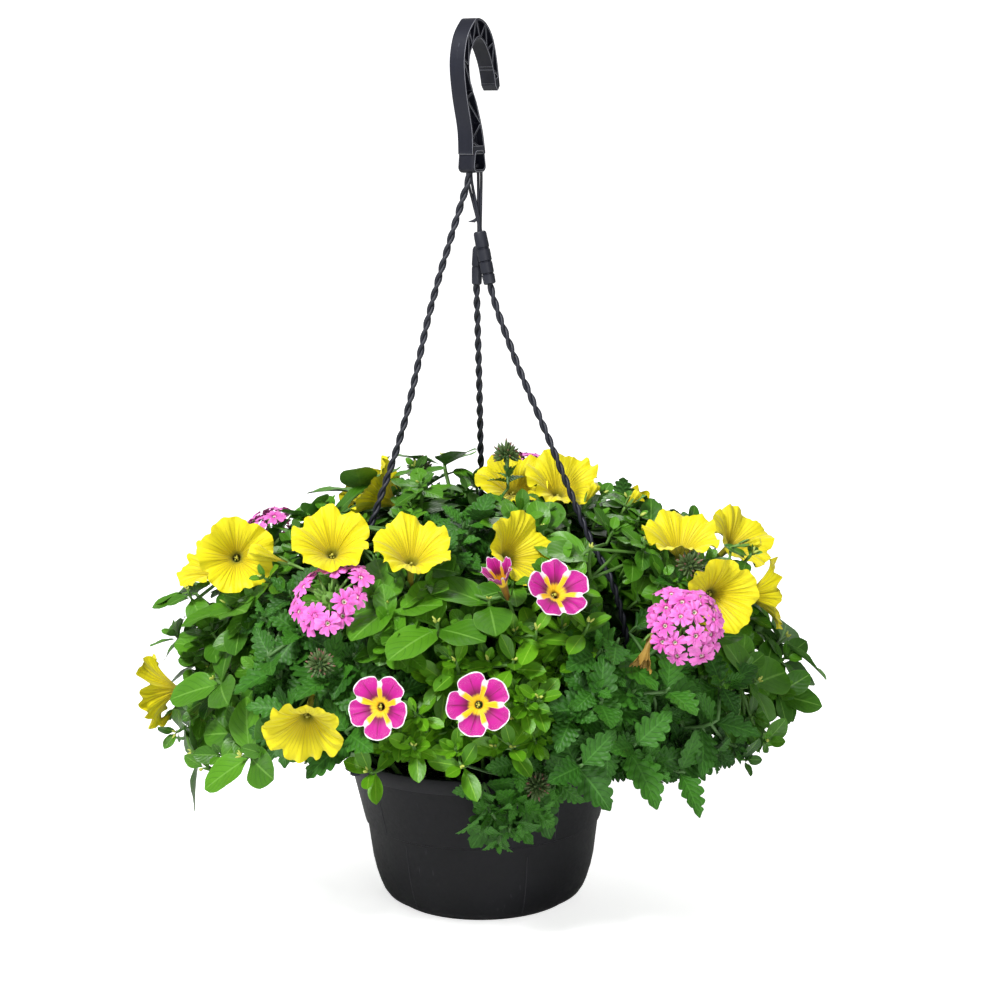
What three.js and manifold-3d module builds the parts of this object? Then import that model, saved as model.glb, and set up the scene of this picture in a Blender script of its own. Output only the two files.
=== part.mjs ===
// A hanging basket of yellow petunias, pink verbena and striped calibrachoa.
// Millimetres, +Z up. The origin is the saddle of the hook, where the basket hangs.
// Inside the root group every height is measured from the underside of the pot.

import * as THREE from 'three';
import { mergeVertices } from 'three/addons/utils/BufferGeometryUtils.js';
import Module from 'manifold-3d';

const wasm = await Module();
wasm.setup();

// ---------------------------------------------------------------- driving dimensions

const RIM_RADIUS = 115;
const POT_HEIGHT = 132;
const POT_WALL = 2;
const BASE_RADIUS = 66;
const STEP_HEIGHT = 70;
const RIM_BAND_HEIGHT = 12;
const DRAIN_HOLE_RADIUS = 5;
const DRAIN_CIRCLE_RADIUS = 44;
const SOIL_HEIGHT = 112;
const SADDLE_HEIGHT = 717.5;
const HOOK_THICKNESS = 14;
const HOOK_SKIN = 1.7;
const HOOK_WEB = 2.4;
const HOOK_TURN = 59;
const COLLAR_HEIGHT = 17;
const COLLAR_WIDTH = 23;
const COLLAR_THICKNESS = 16.5;
const COLLAR_FLOOR = 610.5;
const STRAND_RADIUS = 3;
const ROD_RADIUS = 1.7;
const EYE_CIRCLE_RADIUS = 120;
const EYE_AZIMUTHS = { strand_left: -60, strand_right: 60, strand_back: 180 };
const CLEARANCE = 0.35;

// The rounded form that the foliage fills: half axes to the sides, to the front, up and down.
const MOUND = { side: 245, front: 205, up: 185, down: 90, middle: 165, roundness: 2.5 };

const BLADE_THICKNESS = 0.7;
const SEED = 4468;

// ---------------------------------------------------------------- vectors, chance, places

const UP = new THREE.Vector3(0, 0, 1);

function vec(x, y, z) {
  return new THREE.Vector3(x, y, z);
}

function mix(parts) {
  const sum = vec(0, 0, 0);
  for (const [v, amount] of parts) {
    sum.addScaledVector(v, amount);
  }
  return sum;
}

function seededRandom(seed) {
  let state = seed >>> 0;
  return () => {
    state = (state + 0x6d2b79f5) >>> 0;
    let t = state;
    t = Math.imul(t ^ (t >>> 15), t | 1);
    t ^= t + Math.imul(t ^ (t >>> 7), t | 61);
    return ((t ^ (t >>> 14)) >>> 0) / 4294967296;
  };
}

// Azimuth 0 is the front of the basket (-Y), and +90 is its right side (+X).
function direction(azimuth, elevation) {
  const a = THREE.MathUtils.degToRad(azimuth);
  const e = THREE.MathUtils.degToRad(elevation);
  return vec(Math.cos(e) * Math.sin(a), -Math.cos(e) * Math.cos(a), Math.sin(e));
}

function moundPoint(azimuth, elevation, out) {
  const d = direction(azimuth, elevation);
  const n = MOUND.roundness;
  const across = Math.hypot(d.x / MOUND.side, d.y / MOUND.front);
  const along = Math.abs(d.z) / (d.z > 0 ? MOUND.up : MOUND.down);
  const reach = (across ** n + along ** n) ** (-1 / n) + out;
  return vec(0, 0, MOUND.middle).addScaledVector(d, reach);
}

function outwardAt(point) {
  const z = point.z - MOUND.middle;
  const tall = z > 0 ? MOUND.up : MOUND.down;
  return vec(point.x / MOUND.side ** 2, point.y / MOUND.front ** 2, z / tall ** 2).normalize();
}

// ---------------------------------------------------------------- solids and meshes

function solidFrom(geometry) {
  geometry.deleteAttribute('normal');
  geometry.deleteAttribute('uv');
  const welded = mergeVertices(geometry, 1e-4);
  return new wasm.Manifold(new wasm.Mesh({
    numProp: 3,
    vertProperties: new Float32Array(welded.attributes.position.array),
    triVerts: new Uint32Array(welded.index.array),
  }));
}

function fuse(solids) {
  return solids.reduce((whole, piece) => whole.add(piece));
}

function carve(solid, cutters) {
  return cutters.reduce((left, cutter) => left.subtract(cutter), solid);
}

// The one outer skin of a fused solid: sealed hollows are filled and loose scraps dropped.
function outerSkin(solid) {
  const mesh = solid.simplify(0.02).getMesh();
  const geometry = new THREE.BufferGeometry();
  geometry.setAttribute('position', new THREE.BufferAttribute(new Float32Array(mesh.vertProperties), 3));
  geometry.setIndex([...mesh.triVerts]);
  const parent = [...Array(geometry.attributes.position.count).keys()];
  const rootOf = (i) => {
    while (parent[i] !== i) {
      parent[i] = parent[parent[i]];
      i = parent[i];
    }
    return i;
  };
  const index = geometry.index.array;
  for (let i = 0; i < index.length; i += 3) {
    parent[rootOf(index[i])] = rootOf(index[i + 1]);
    parent[rootOf(index[i])] = rootOf(index[i + 2]);
  }
  const shells = new Map();
  for (let i = 0; i < index.length; i += 3) {
    const key = rootOf(index[i]);
    if (!shells.has(key)) {
      shells.set(key, { triangles: [], volume: 0 });
    }
    const shell = shells.get(key);
    const { position } = geometry.attributes;
    const corners = [0, 1, 2].map((k) => vec().fromBufferAttribute(position, index[i + k]));
    shell.triangles.push(index[i], index[i + 1], index[i + 2]);
    shell.volume += corners[0].dot(corners[1].cross(corners[2]));
  }
  const largest = [...shells.values()].sort((a, b) => b.volume - a.volume)[0];
  geometry.setIndex(largest.triangles);
  return geometry;
}

function tubeAlong(curve, radius, sides, steps) {
  const section = new THREE.Shape();
  for (let i = 0; i < sides; i += 1) {
    const angle = (i / sides) * 2 * Math.PI;
    section[i ? 'lineTo' : 'moveTo'](radius * Math.cos(angle), radius * Math.sin(angle));
  }
  return solidFrom(new THREE.ExtrudeGeometry(section, { steps, extrudePath: curve }));
}

function cylinder(radiusTop, radiusBottom, height, sides, place) {
  const geometry = new THREE.CylinderGeometry(radiusTop, radiusBottom, height, sides);
  geometry.rotateX(Math.PI / 2);
  geometry.translate(place.x, place.y, place.z);
  return solidFrom(geometry);
}

// A closed skin over rings of points. A ring may have a whole number of times the points
// of the ring before it, and the first and last rings are closed with a fan of triangles.
function ringedSolid(rings) {
  const positions = [];
  const rows = rings.map((ring) => ring.map((p) => positions.push(p.x, p.y, p.z) / 3 - 1));
  const triangles = [];
  const bridge = (few, many, flip) => {
    const ratio = many.length / few.length;
    const add = (a, b, c) => triangles.push(...(flip ? [a, c, b] : [a, b, c]));
    few.forEach((corner, i) => {
      const next = few[(i + 1) % few.length];
      const edge = [...Array(ratio + 1).keys()].map((k) => many[(i * ratio + k) % many.length]);
      const middle = Math.ceil(ratio / 2);
      for (let k = 0; k < ratio; k += 1) {
        add(k < middle ? corner : next, edge[k + 1], edge[k]);
      }
      add(corner, next, edge[middle]);
    });
  };
  for (let r = 0; r + 1 < rows.length; r += 1) {
    if (rows[r].length <= rows[r + 1].length) {
      bridge(rows[r], rows[r + 1], false);
    } else {
      bridge(rows[r + 1], rows[r], true);
    }
  }
  const first = rows[0];
  const last = rows[rows.length - 1];
  for (let i = 1; i + 1 < first.length; i += 1) {
    triangles.push(first[0], first[i + 1], first[i]);
  }
  for (let i = 1; i + 1 < last.length; i += 1) {
    triangles.push(last[0], last[i], last[i + 1]);
  }
  const geometry = new THREE.BufferGeometry();
  geometry.setAttribute('position', new THREE.Float32BufferAttribute(positions, 3));
  geometry.setIndex(triangles);
  return geometry;
}

function materialOf(colour, roughness) {
  return new THREE.MeshStandardMaterial({ color: colour, roughness, metalness: 0 });
}

const MATERIALS = {
  pot_plastic: materialOf(0x25262a, 0.55),
  hanger_plastic: materialOf(0x1d1e23, 0.45),
  soil: materialOf(0x2e2018, 0.95),
  petunia_leaf: materialOf(0x2c6b22, 0.6),
  verbena_leaf: materialOf(0x2a5f2b, 0.65),
  calibrachoa_leaf: materialOf(0x5d9a26, 0.55),
  yellow_petal: materialOf(0xf2d21c, 0.6),
  pink_petal: materialOf(0xd8559c, 0.6),
  striped_petal: materialOf(0xc2326e, 0.6),
};

function meshOf(name, geometry, material) {
  const mesh = new THREE.Mesh(geometry, MATERIALS[material]);
  mesh.name = name;
  return mesh;
}

// ---------------------------------------------------------------- pot and soil

// Outside radius of the pot at the heights where its side turns, from the foot to the rim band.
const POT_SIDE = [
  [BASE_RADIUS, 0], [77, 3], [86, 11], [94, 38], [98, STEP_HEIGHT - 0.5], [100, STEP_HEIGHT + 0.5],
  [RIM_RADIUS - 3.5, POT_HEIGHT - RIM_BAND_HEIGHT],
];

// The inside of the shell, from the floor's edge up to where the rim band begins.
const POT_INSIDE = [
  [BASE_RADIUS, POT_WALL], [75, 4.8], [83.8, 12], [96, STEP_HEIGHT],
  [RIM_RADIUS - 5.5, POT_HEIGHT - RIM_BAND_HEIGHT],
];
const SOIL_GAP = 1.2;

function potSolid() {
  const profile = [
    [0, 0], ...POT_SIDE,
    [RIM_RADIUS, POT_HEIGHT - RIM_BAND_HEIGHT], [RIM_RADIUS, POT_HEIGHT], [RIM_RADIUS - 4, POT_HEIGHT],
    ...[...POT_INSIDE].reverse(), [0, POT_WALL],
  ].map(([r, z]) => new THREE.Vector2(r, z));
  const lathe = new THREE.LatheGeometry(profile, 24);
  lathe.rotateX(Math.PI / 2);
  const eyes = Object.values(EYE_AZIMUTHS).map((azimuth) => {
    const lug = new THREE.BoxGeometry(12, 14, 4);
    lug.translate(0, -EYE_CIRCLE_RADIUS, POT_HEIGHT - 3);
    lug.rotateZ(THREE.MathUtils.degToRad(azimuth));
    return solidFrom(lug);
  });
  const drains = [36, 108, 180, 252, 324].map((azimuth) => {
    const place = direction(azimuth, 0).multiplyScalar(DRAIN_CIRCLE_RADIUS);
    return cylinder(DRAIN_HOLE_RADIUS, DRAIN_HOLE_RADIUS, 10, 8, place);
  });
  return carve(fuse([solidFrom(lathe), ...eyes]), drains);
}

function soilSolid() {
  const random = seededRandom(SEED);
  const side = POT_INSIDE.filter(([, z]) => z < SOIL_HEIGHT).map(([r, z]) => [r - SOIL_GAP, z + CLEARANCE]);
  const profile = [
    [0, POT_WALL + CLEARANCE], ...side, [RIM_RADIUS - 9.8, SOIL_HEIGHT - 3], [82, SOIL_HEIGHT],
    [50, SOIL_HEIGHT + 1], [20, SOIL_HEIGHT + 1], [0, SOIL_HEIGHT + 2],
  ].map(([r, z]) => new THREE.Vector2(r, z));
  const lathe = new THREE.LatheGeometry(profile, 14);
  lathe.rotateX(Math.PI / 2);
  lathe.deleteAttribute('normal');
  lathe.deleteAttribute('uv');
  const ground = mergeVertices(lathe, 1e-3);
  const points = ground.attributes.position;
  for (let i = 0; i < points.count; i += 1) {
    const radius = Math.hypot(points.getX(i), points.getY(i));
    if (points.getZ(i) > SOIL_HEIGHT - 1 && radius < 90) {
      points.setZ(i, points.getZ(i) + (random() - 0.5) * 4);
    }
  }
  return solidFrom(ground);
}

// ---------------------------------------------------------------- hook

// Both edges of the hook in its own plane, from the collar over the crown to the tip.
// The first number runs from the spine towards the tip, the second up from the saddle.
const HOOK_OUTER = [
  [-12, -92], [-13, -72], [-20, -45], [-23, -20], [-18, 0], [-8, 12], [0, 16], [12, 12], [22, 1], [28, -16],
  [32, -38],
];
const HOOK_INNER = [
  [8, -92], [4, -73], [-4, -52], [-13, -35], [-14.5, -18], [-9, -6], [0, 0], [8, -3], [16, -13], [22, -25],
  [25.5, -38],
];
const HOOK_CELLS = 15;

function edgeCurve(points) {
  return new THREE.SplineCurve(points.map(([a, z]) => new THREE.Vector2(a, z)));
}

function platePrism(points, thickness, low) {
  const outline = new THREE.Shape(points);
  const geometry = new THREE.ExtrudeGeometry(outline, { depth: thickness, bevelEnabled: false });
  geometry.translate(0, 0, low);
  return solidFrom(geometry);
}

// A pocket is drawn in by the skin's thickness from its outline, about the outline's middle.
function pocketOutline(corners) {
  const centre = corners.reduce((sum, p) => sum.add(p), new THREE.Vector2()).divideScalar(corners.length);
  return corners.map((p) => {
    const away = p.clone().sub(centre);
    return centre.clone().addScaledVector(away, Math.max(0.2, 1 - 1.5 * HOOK_SKIN / away.length()));
  });
}

function hookSolid() {
  const outer = edgeCurve(HOOK_OUTER);
  const inner = edgeCurve(HOOK_INNER);
  const steps = 16;
  const outerPoints = outer.getPoints(steps);
  const innerPoints = inner.getPoints(steps).reverse();
  const tip = new THREE.Vector2(29, -42);
  const body = platePrism([...outerPoints, tip, ...innerPoints], HOOK_THICKNESS, -HOOK_THICKNESS / 2);
  const cuts = [];
  const cellStep = 0.96 / HOOK_CELLS;
  for (let i = 0; i < HOOK_CELLS; i += 1) {
    const from = 0.03 + i * cellStep;
    const to = from + cellStep;
    const [base, point] = i % 2 ? [outer, inner] : [inner, outer];
    const start = Math.max(from - cellStep * 0.5, 0.02);
    const end = Math.min(to + cellStep * 0.5, 0.98);
    const corners = [base.getPoint(start), base.getPoint((start + end) / 2), base.getPoint(end)];
    corners.push(point.getPoint((from + to) / 2));
    const outline = pocketOutline(corners);
    const depth = (HOOK_THICKNESS - HOOK_WEB) / 2;
    cuts.push(platePrism(outline, depth + 1, HOOK_WEB / 2));
    cuts.push(platePrism(outline, depth + 1, -HOOK_WEB / 2 - depth - 1));
  }
  const collarTop = COLLAR_FLOOR + COLLAR_HEIGHT - SADDLE_HEIGHT;
  const collarMiddle = -2;
  const box = (width, low, high, front, back) => platePrism([
    [-width / 2, low], [width / 2, low], [width / 2, high - 3], [width / 2 - 3, high],
    [3 - width / 2, high], [-width / 2, high - 3],
  ].map(([a, z]) => new THREE.Vector2(collarMiddle + a, z)), front - back, back);
  const half = COLLAR_THICKNESS / 2;
  const collar = box(COLLAR_WIDTH, collarTop - COLLAR_HEIGHT, collarTop, half, -half);
  const pocketFloor = collarTop - COLLAR_HEIGHT + 3.2;
  const pocket = box(COLLAR_WIDTH - 6, pocketFloor, collarTop - 3, half + 1, 2.4 - half);
  const flat = carve(fuse([carve(body, cuts), collar]), [pocket]);
  // The plate is drawn flat, then stood up and turned so that its tip points to the back right.
  return flat.rotate([90, 0, 0]).rotate([0, 0, HOOK_TURN]).translate([0, 0, SADDLE_HEIGHT]);
}

// The hook's plane: along it from spine to tip, and square to it on the ribbed face.
function hookPlace(along, square, height) {
  const turn = THREE.MathUtils.degToRad(HOOK_TURN);
  return vec(
    along * Math.cos(turn) + square * Math.sin(turn),
    along * Math.sin(turn) - square * Math.cos(turn),
    height,
  );
}

// ---------------------------------------------------------------- strands and their clip

const STRAND_ROUTES = {
  strand_left: {
    seat: -7.6,
    points: [[-9, -7, 590], [-35, -18, 507], [-60, -33, 407], [-83, -46, 341], [-101, -56, 293],
      [-117, -65, 235], [-115, -66, 185], [-105, -61, 150]],
  },
  strand_right: {
    seat: -2,
    points: [[9, -3, 562], [12, -4, 521], [30, -14, 465], [57, -30, 399], [89, -48, 320], [109, -60, 279],
      [121, -68, 224], [119, -68, 180], [106, -61, 150]],
  },
  strand_back: {
    seat: 3.6,
    points: [[1, 5, 562], [1, 6.5, 521], [2, 30, 420], [2, 75, 300], [2, 104, 220], [2, 118, 170]],
  },
};

// A thick stretch from the rim eye to the clip or collar, and a slim one on up into the collar.
function strandCurves(name) {
  const { seat, points } = STRAND_ROUTES[name];
  const eye = direction(EYE_AZIMUTHS[name], 0).multiplyScalar(EYE_CIRCLE_RADIUS);
  const foot = [vec(eye.x, eye.y, POT_HEIGHT + 3), vec(eye.x, eye.y, POT_HEIGHT - 7)];
  const body = new THREE.CatmullRomCurve3([...points.map((p) => vec(...p)), ...foot]);
  const top = hookPlace(seat, 0, COLLAR_FLOOR + 5);
  const low = vec(...points[0]);
  const down = vec(...points[1]).sub(low).normalize();
  const neck = new THREE.CatmullRomCurve3([
    low.clone().addScaledVector(down, 4), low,
    hookPlace(seat, 0, COLLAR_FLOOR - 6), hookPlace(seat, 0, COLLAR_FLOOR), top,
  ]);
  return { body, neck, eye, top };
}

function strandSolids(name, swell) {
  const { body, neck, eye, top } = strandCurves(name);
  return {
    body: tubeAlong(body, STRAND_RADIUS + swell, 6, 14),
    neck: tubeAlong(neck, ROD_RADIUS + swell, 6, 4),
    button: cylinder(3.6, 4.4, 4, 8, vec(eye.x, eye.y, POT_HEIGHT - 5 - CLEARANCE - 2)),
    knob: cylinder(2.2, 2.5, 3.5, 8, vec(top.x, top.y, COLLAR_FLOOR + 3.2 + CLEARANCE + 1.75)),
  };
}

function clipSolid() {
  const right = new THREE.LineCurve3(vec(9, -3, 560), vec(12.2, -4.2, 519));
  const back = new THREE.LineCurve3(vec(1, 5, 560), vec(1, 6.5, 521));
  const sleeve = new THREE.CylinderGeometry(8.4, 8.8, 13, 8);
  sleeve.rotateX(Math.PI / 2);
  sleeve.scale(1.12, 0.72, 1);
  sleeve.rotateZ(THREE.MathUtils.degToRad(-44));
  sleeve.translate(5.4, 0.8, 552);
  const band = new THREE.CylinderGeometry(9.4, 9.4, 3, 8);
  band.rotateX(Math.PI / 2);
  band.scale(1.12, 0.74, 1);
  band.rotateZ(THREE.MathUtils.degToRad(-44));
  band.translate(5.4, 0.8, 546);
  return fuse([
    solidFrom(sleeve), solidFrom(band), tubeAlong(right, 4.9, 6, 1), tubeAlong(back, 4.6, 6, 1),
  ]);
}

// ---------------------------------------------------------------- petals

// A trumpet flower on the +Z axis: a slim tube from the origin, then five fused lobes.
function trumpetSolid(flower, random) {
  const { radius, tube, cup, wave } = flower;
  const throat = radius * 0.26;
  const lip = 0.8;
  const circle = (count, r, z) => [...Array(count).keys()].map((i) => {
    const angle = (i / count) * 2 * Math.PI;
    return vec(r * Math.cos(angle), r * Math.sin(angle), z);
  });
  const rise = Math.tan(THREE.MathUtils.degToRad(cup));
  const edge = [...Array(15).keys()].map((i) => {
    const angle = (i / 15) * 2 * Math.PI;
    const notched = i % 3 === 0;
    const r = radius * (notched ? 0.8 : 0.96 + random() * 0.06);
    const z = tube + (r - throat) * rise + (random() - 0.5) * 2 * wave - (notched ? 0 : wave * 0.5);
    return vec(r * Math.cos(angle), r * Math.sin(angle), z);
  });
  return ringedSolid([
    circle(5, 2.3, 0),
    circle(5, throat, tube - 2),
    edge,
    edge.map((p) => p.clone().setZ(p.z + lip)),
    circle(5, throat - lip, tube - 2 + lip),
    circle(5, 1.2, tube * 0.4),
  ]);
}

// A small floret on the +Z axis: a star-shaped funnel with its foot at the origin.
function floretGeometry(radius, tube, random) {
  const turn = random() * 2 * Math.PI;
  const positions = [0, 0, 0, 0, 0, tube - 2.5];
  const triangles = [];
  for (let i = 0; i < 10; i += 1) {
    const angle = turn + (i / 10) * 2 * Math.PI;
    const r = radius * (i % 2 ? 0.6 : 1);
    positions.push(r * Math.cos(angle), r * Math.sin(angle), tube + (i % 2 ? -1 : 0.6));
    const here = 2 + i;
    const next = 2 + ((i + 1) % 10);
    triangles.push(0, next, here, 1, here, next);
  }
  const geometry = new THREE.BufferGeometry();
  geometry.setAttribute('position', new THREE.Float32BufferAttribute(positions, 3));
  geometry.setIndex(triangles);
  return geometry;
}

function stoodAlong(geometry, place, axis) {
  const turn = new THREE.Quaternion().setFromUnitVectors(UP, axis);
  geometry.applyQuaternion(turn);
  geometry.translate(place.x, place.y, place.z);
  return geometry;
}

// A verbena head on the +Z axis: florets on a domed core, thinner in the middle of a ring.
function headSolid(head, random) {
  const { radius, florets, ring } = head;
  const core = new THREE.SphereGeometry(1, 6, 3);
  core.rotateX(Math.PI / 2);
  core.scale(radius * 0.5, radius * 0.5, radius * 0.5);
  core.translate(0, 0, radius * 0.5);
  const pieces = [solidFrom(core)];
  const rows = ring ? [[florets, 66]] : [[1, 0], [Math.round((florets - 1) * 0.38), 36],
    [florets - 1 - Math.round((florets - 1) * 0.38), 74]];
  for (const [count, tilt] of rows) {
    for (let i = 0; i < count; i += 1) {
      const azimuth = ((i + 0.5 * random() + tilt / 90) / count) * 360;
      const lean = tilt + (random() - 0.5) * 10 * (tilt > 0);
      const axis = direction(azimuth, 90 - lean);
      const foot = vec(0, 0, radius * 0.42).addScaledVector(axis, radius * 0.25);
      const tube = radius * (0.62 + 0.08 * random());
      const floret = floretGeometry(7.6 * (0.9 + 0.2 * random()), tube, random);
      pieces.push(solidFrom(stoodAlong(floret, foot, axis)));
    }
  }
  return fuse(pieces);
}

// ---------------------------------------------------------------- leaves and stems

// Half outlines as [way along, half width], with the leaf's length and half width as 1.
const LEAF_KINDS = {
  petunia: { edge: [[0.34, 0.86], [0.72, 0.9]], rib: true, length: 48, width: 34, fold: 0.2, droop: 0.16 },
  verbena: {
    edge: [[0.3, 1], [0.47, 0.58], [0.68, 0.76]], rib: true, length: 47, width: 35, fold: 0.26, droop: 0.2,
  },
  verbena_young: {
    edge: [[0.36, 1], [0.68, 0.74]], rib: true, length: 47, width: 33, fold: 0.26, droop: 0.2,
  },
  calibrachoa: { edge: [[0.56, 1]], rib: false, length: 28, width: 15, fold: 0.25, droop: 0.1 },
  sepal: { edge: [], rib: false, length: 15, width: 3, fold: 0, droop: -0.06 },
};

// A blade's points from its root's left corner round the tip to its right corner.
function bladePoints(kind, root, along, face, size) {
  const shape = LEAF_KINDS[kind];
  const length = shape.length * size;
  const halfWidth = (shape.width * size) / 2;
  const side = face.clone().cross(along).normalize();
  const point = (t, w, under) => {
    const lift = shape.fold * Math.abs(w) * halfWidth - shape.droop * length * t * t - under;
    return mix([[root, 1], [along, t * length], [side, w * halfWidth], [face, lift]]);
  };
  const left = shape.edge.map(([t, w]) => [t, -w]);
  const outline = [...left, [1, 0], ...[...shape.edge].reverse()];
  const thickness = BLADE_THICKNESS;
  return {
    upper: outline.map(([t, w]) => point(t, w, 0)),
    lower: outline.map(([t, w]) => point(t, w, thickness)),
    rib: shape.rib ? [point(0.5, 0, 0), point(0.5, 0, thickness)] : null,
  };
}

// Adds a blade to a mesh that is being built. Its root is the four corners of one face:
// upper left, upper right, lower right and lower left.
function addBlade(positions, triangles, corners, blade) {
  const put = (p) => positions.push(p.x, p.y, p.z) / 3 - 1;
  const upper = [corners[0], ...blade.upper.map(put), corners[1]];
  const lower = [corners[3], ...blade.lower.map(put), corners[2]];
  const count = upper.length;
  const hub = blade.rib ? blade.rib.map(put) : [upper[(count - 1) / 2], lower[(count - 1) / 2]];
  for (let i = 0; i < count; i += 1) {
    const next = (i + 1) % count;
    if (hub[0] !== upper[i] && hub[0] !== upper[next]) {
      triangles.push(hub[0], upper[i], upper[next]);
      triangles.push(hub[1], lower[next], lower[i]);
    }
    if (next > 0) {
      triangles.push(upper[i], lower[i], lower[next]);
      triangles.push(upper[i], lower[next], upper[next]);
    }
  }
}

function geometryOf(positions, triangles) {
  const geometry = new THREE.BufferGeometry();
  geometry.setAttribute('position', new THREE.Float32BufferAttribute(positions, 3));
  geometry.setIndex(triangles);
  return geometry;
}

// One blade by itself, closed at its root.
function bladeSolid(rootCorners, blade) {
  const positions = rootCorners.flatMap((p) => [p.x, p.y, p.z]);
  const triangles = [0, 1, 2, 0, 2, 3];
  addBlade(positions, triangles, [0, 1, 2, 3], blade);
  return solidFrom(geometryOf(positions, triangles));
}

// The corners of a stem's rings. Face k looks along the ring's own direction turned by k sides.
function ringPoints({ at, way, across, radius }, sides) {
  const other = way.clone().cross(across);
  return [...Array(sides).keys()].map((k) => {
    const angle = ((k - 0.5) / sides) * 2 * Math.PI;
    return mix([[at, 1], [across, radius * Math.cos(angle)], [other, radius * Math.sin(angle)]]);
  });
}

// A stem is skinned over its rings, and each blade is raised from one face of the stem.
function stemSolid(rings, sides, blades) {
  const positions = [];
  const triangles = [];
  const rows = rings.map((ring) => (
    ringPoints(ring, sides).map((p) => positions.push(p.x, p.y, p.z) / 3 - 1)
  ));
  for (let r = 0; r + 1 < rows.length; r += 1) {
    for (let k = 0; k < sides; k += 1) {
      const next = (k + 1) % sides;
      const corners = [rows[r + 1][k], rows[r + 1][next], rows[r][next], rows[r][k]];
      const blade = blades.find((b) => b.ring === r && b.face === k);
      if (blade) {
        addBlade(positions, triangles, corners, blade.points);
      } else {
        triangles.push(corners[3], corners[2], corners[1], corners[3], corners[1], corners[0]);
      }
    }
  }
  const last = rows[rows.length - 1];
  for (let k = 1; k + 1 < sides; k += 1) {
    triangles.push(rows[0][0], rows[0][k + 1], rows[0][k]);
    triangles.push(last[0], last[k], last[k + 1]);
  }
  return solidFrom(geometryOf(positions, triangles));
}

// ---------------------------------------------------------------- what grows where

// Each bloom stands out of the mound at an azimuth and elevation, and faces its own way.
const PETUNIA_BLOOMS = {
  petunia_bloom_01: { at: [-85, 30, 16], faces: [-50, 50] },
  petunia_bloom_02: { at: [-68, 35, 24], faces: [6, 18] },
  petunia_bloom_03: { at: [-40, 43, 26], faces: [0, 48] },
  petunia_bloom_04: { at: [-82, 66, 2], faces: [-95, 35] },
  petunia_bloom_05: { at: [-18, 45, 20], faces: [8, 58] },
  petunia_bloom_06: { at: [102, 81, 3], faces: [0, 55] },
  petunia_bloom_07: { at: [82, 70, 6], faces: [15, 55] },
  petunia_bloom_08: { at: [13, 51, -7], faces: [45, 28] },
  petunia_bloom_09: { at: [62, 40, 14], faces: [10, 70] },
  petunia_bloom_10: { at: [98, 31, 20], faces: [45, 40] },
  petunia_bloom_11: { at: [60, 28, 13], faces: [20, 5] },
  petunia_bloom_12: { at: [86, 22, 10], faces: [88, 5] },
  petunia_bloom_13: { at: [-84, 5, 22], faces: [-97, -5] },
  petunia_bloom_14: { at: [-34, 9, 24], faces: [-8, -28] },
  petunia_bloom_15: { at: [-150, 38, 26], faces: [-150, 35] },
  petunia_bloom_16: { at: [140, 30, 26], faces: [140, 25] },
  petunia_bloom_17: { at: [178, 18, 26], faces: [180, 15] },
};
const VERBENA_HEADS = {
  verbena_head_01: { at: [-35, 31, 18], faces: [-30, 20], florets: 9, ring: true },
  verbena_head_02: { at: [45, 25, 23], faces: [20, 35], florets: 12, ring: false },
  verbena_head_03: { at: [-120, 30, 14], faces: [-125, 30], florets: 9, ring: false },
  verbena_head_04: { at: [160, 50, 14], faces: [165, 50], florets: 9, ring: false },
};
const STRIPED_BLOOMS = {
  striped_bloom_01: { at: [0, 15, 18], faces: [0, 15] },
  striped_bloom_02: { at: [-20, 14, 18], faces: [-20, 14] },
  striped_bloom_03: { at: [19, 36, 18], faces: [22, 39] },
  striped_bloom_04: { at: [-165, 12, 16], faces: [-165, 15] },
  striped_bloom_05: {
    at: [6, 38, 22], faces: [-20, 50], form: { radius: 13, tube: 18, cup: 66, wave: 2.5 },
  },
};

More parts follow.
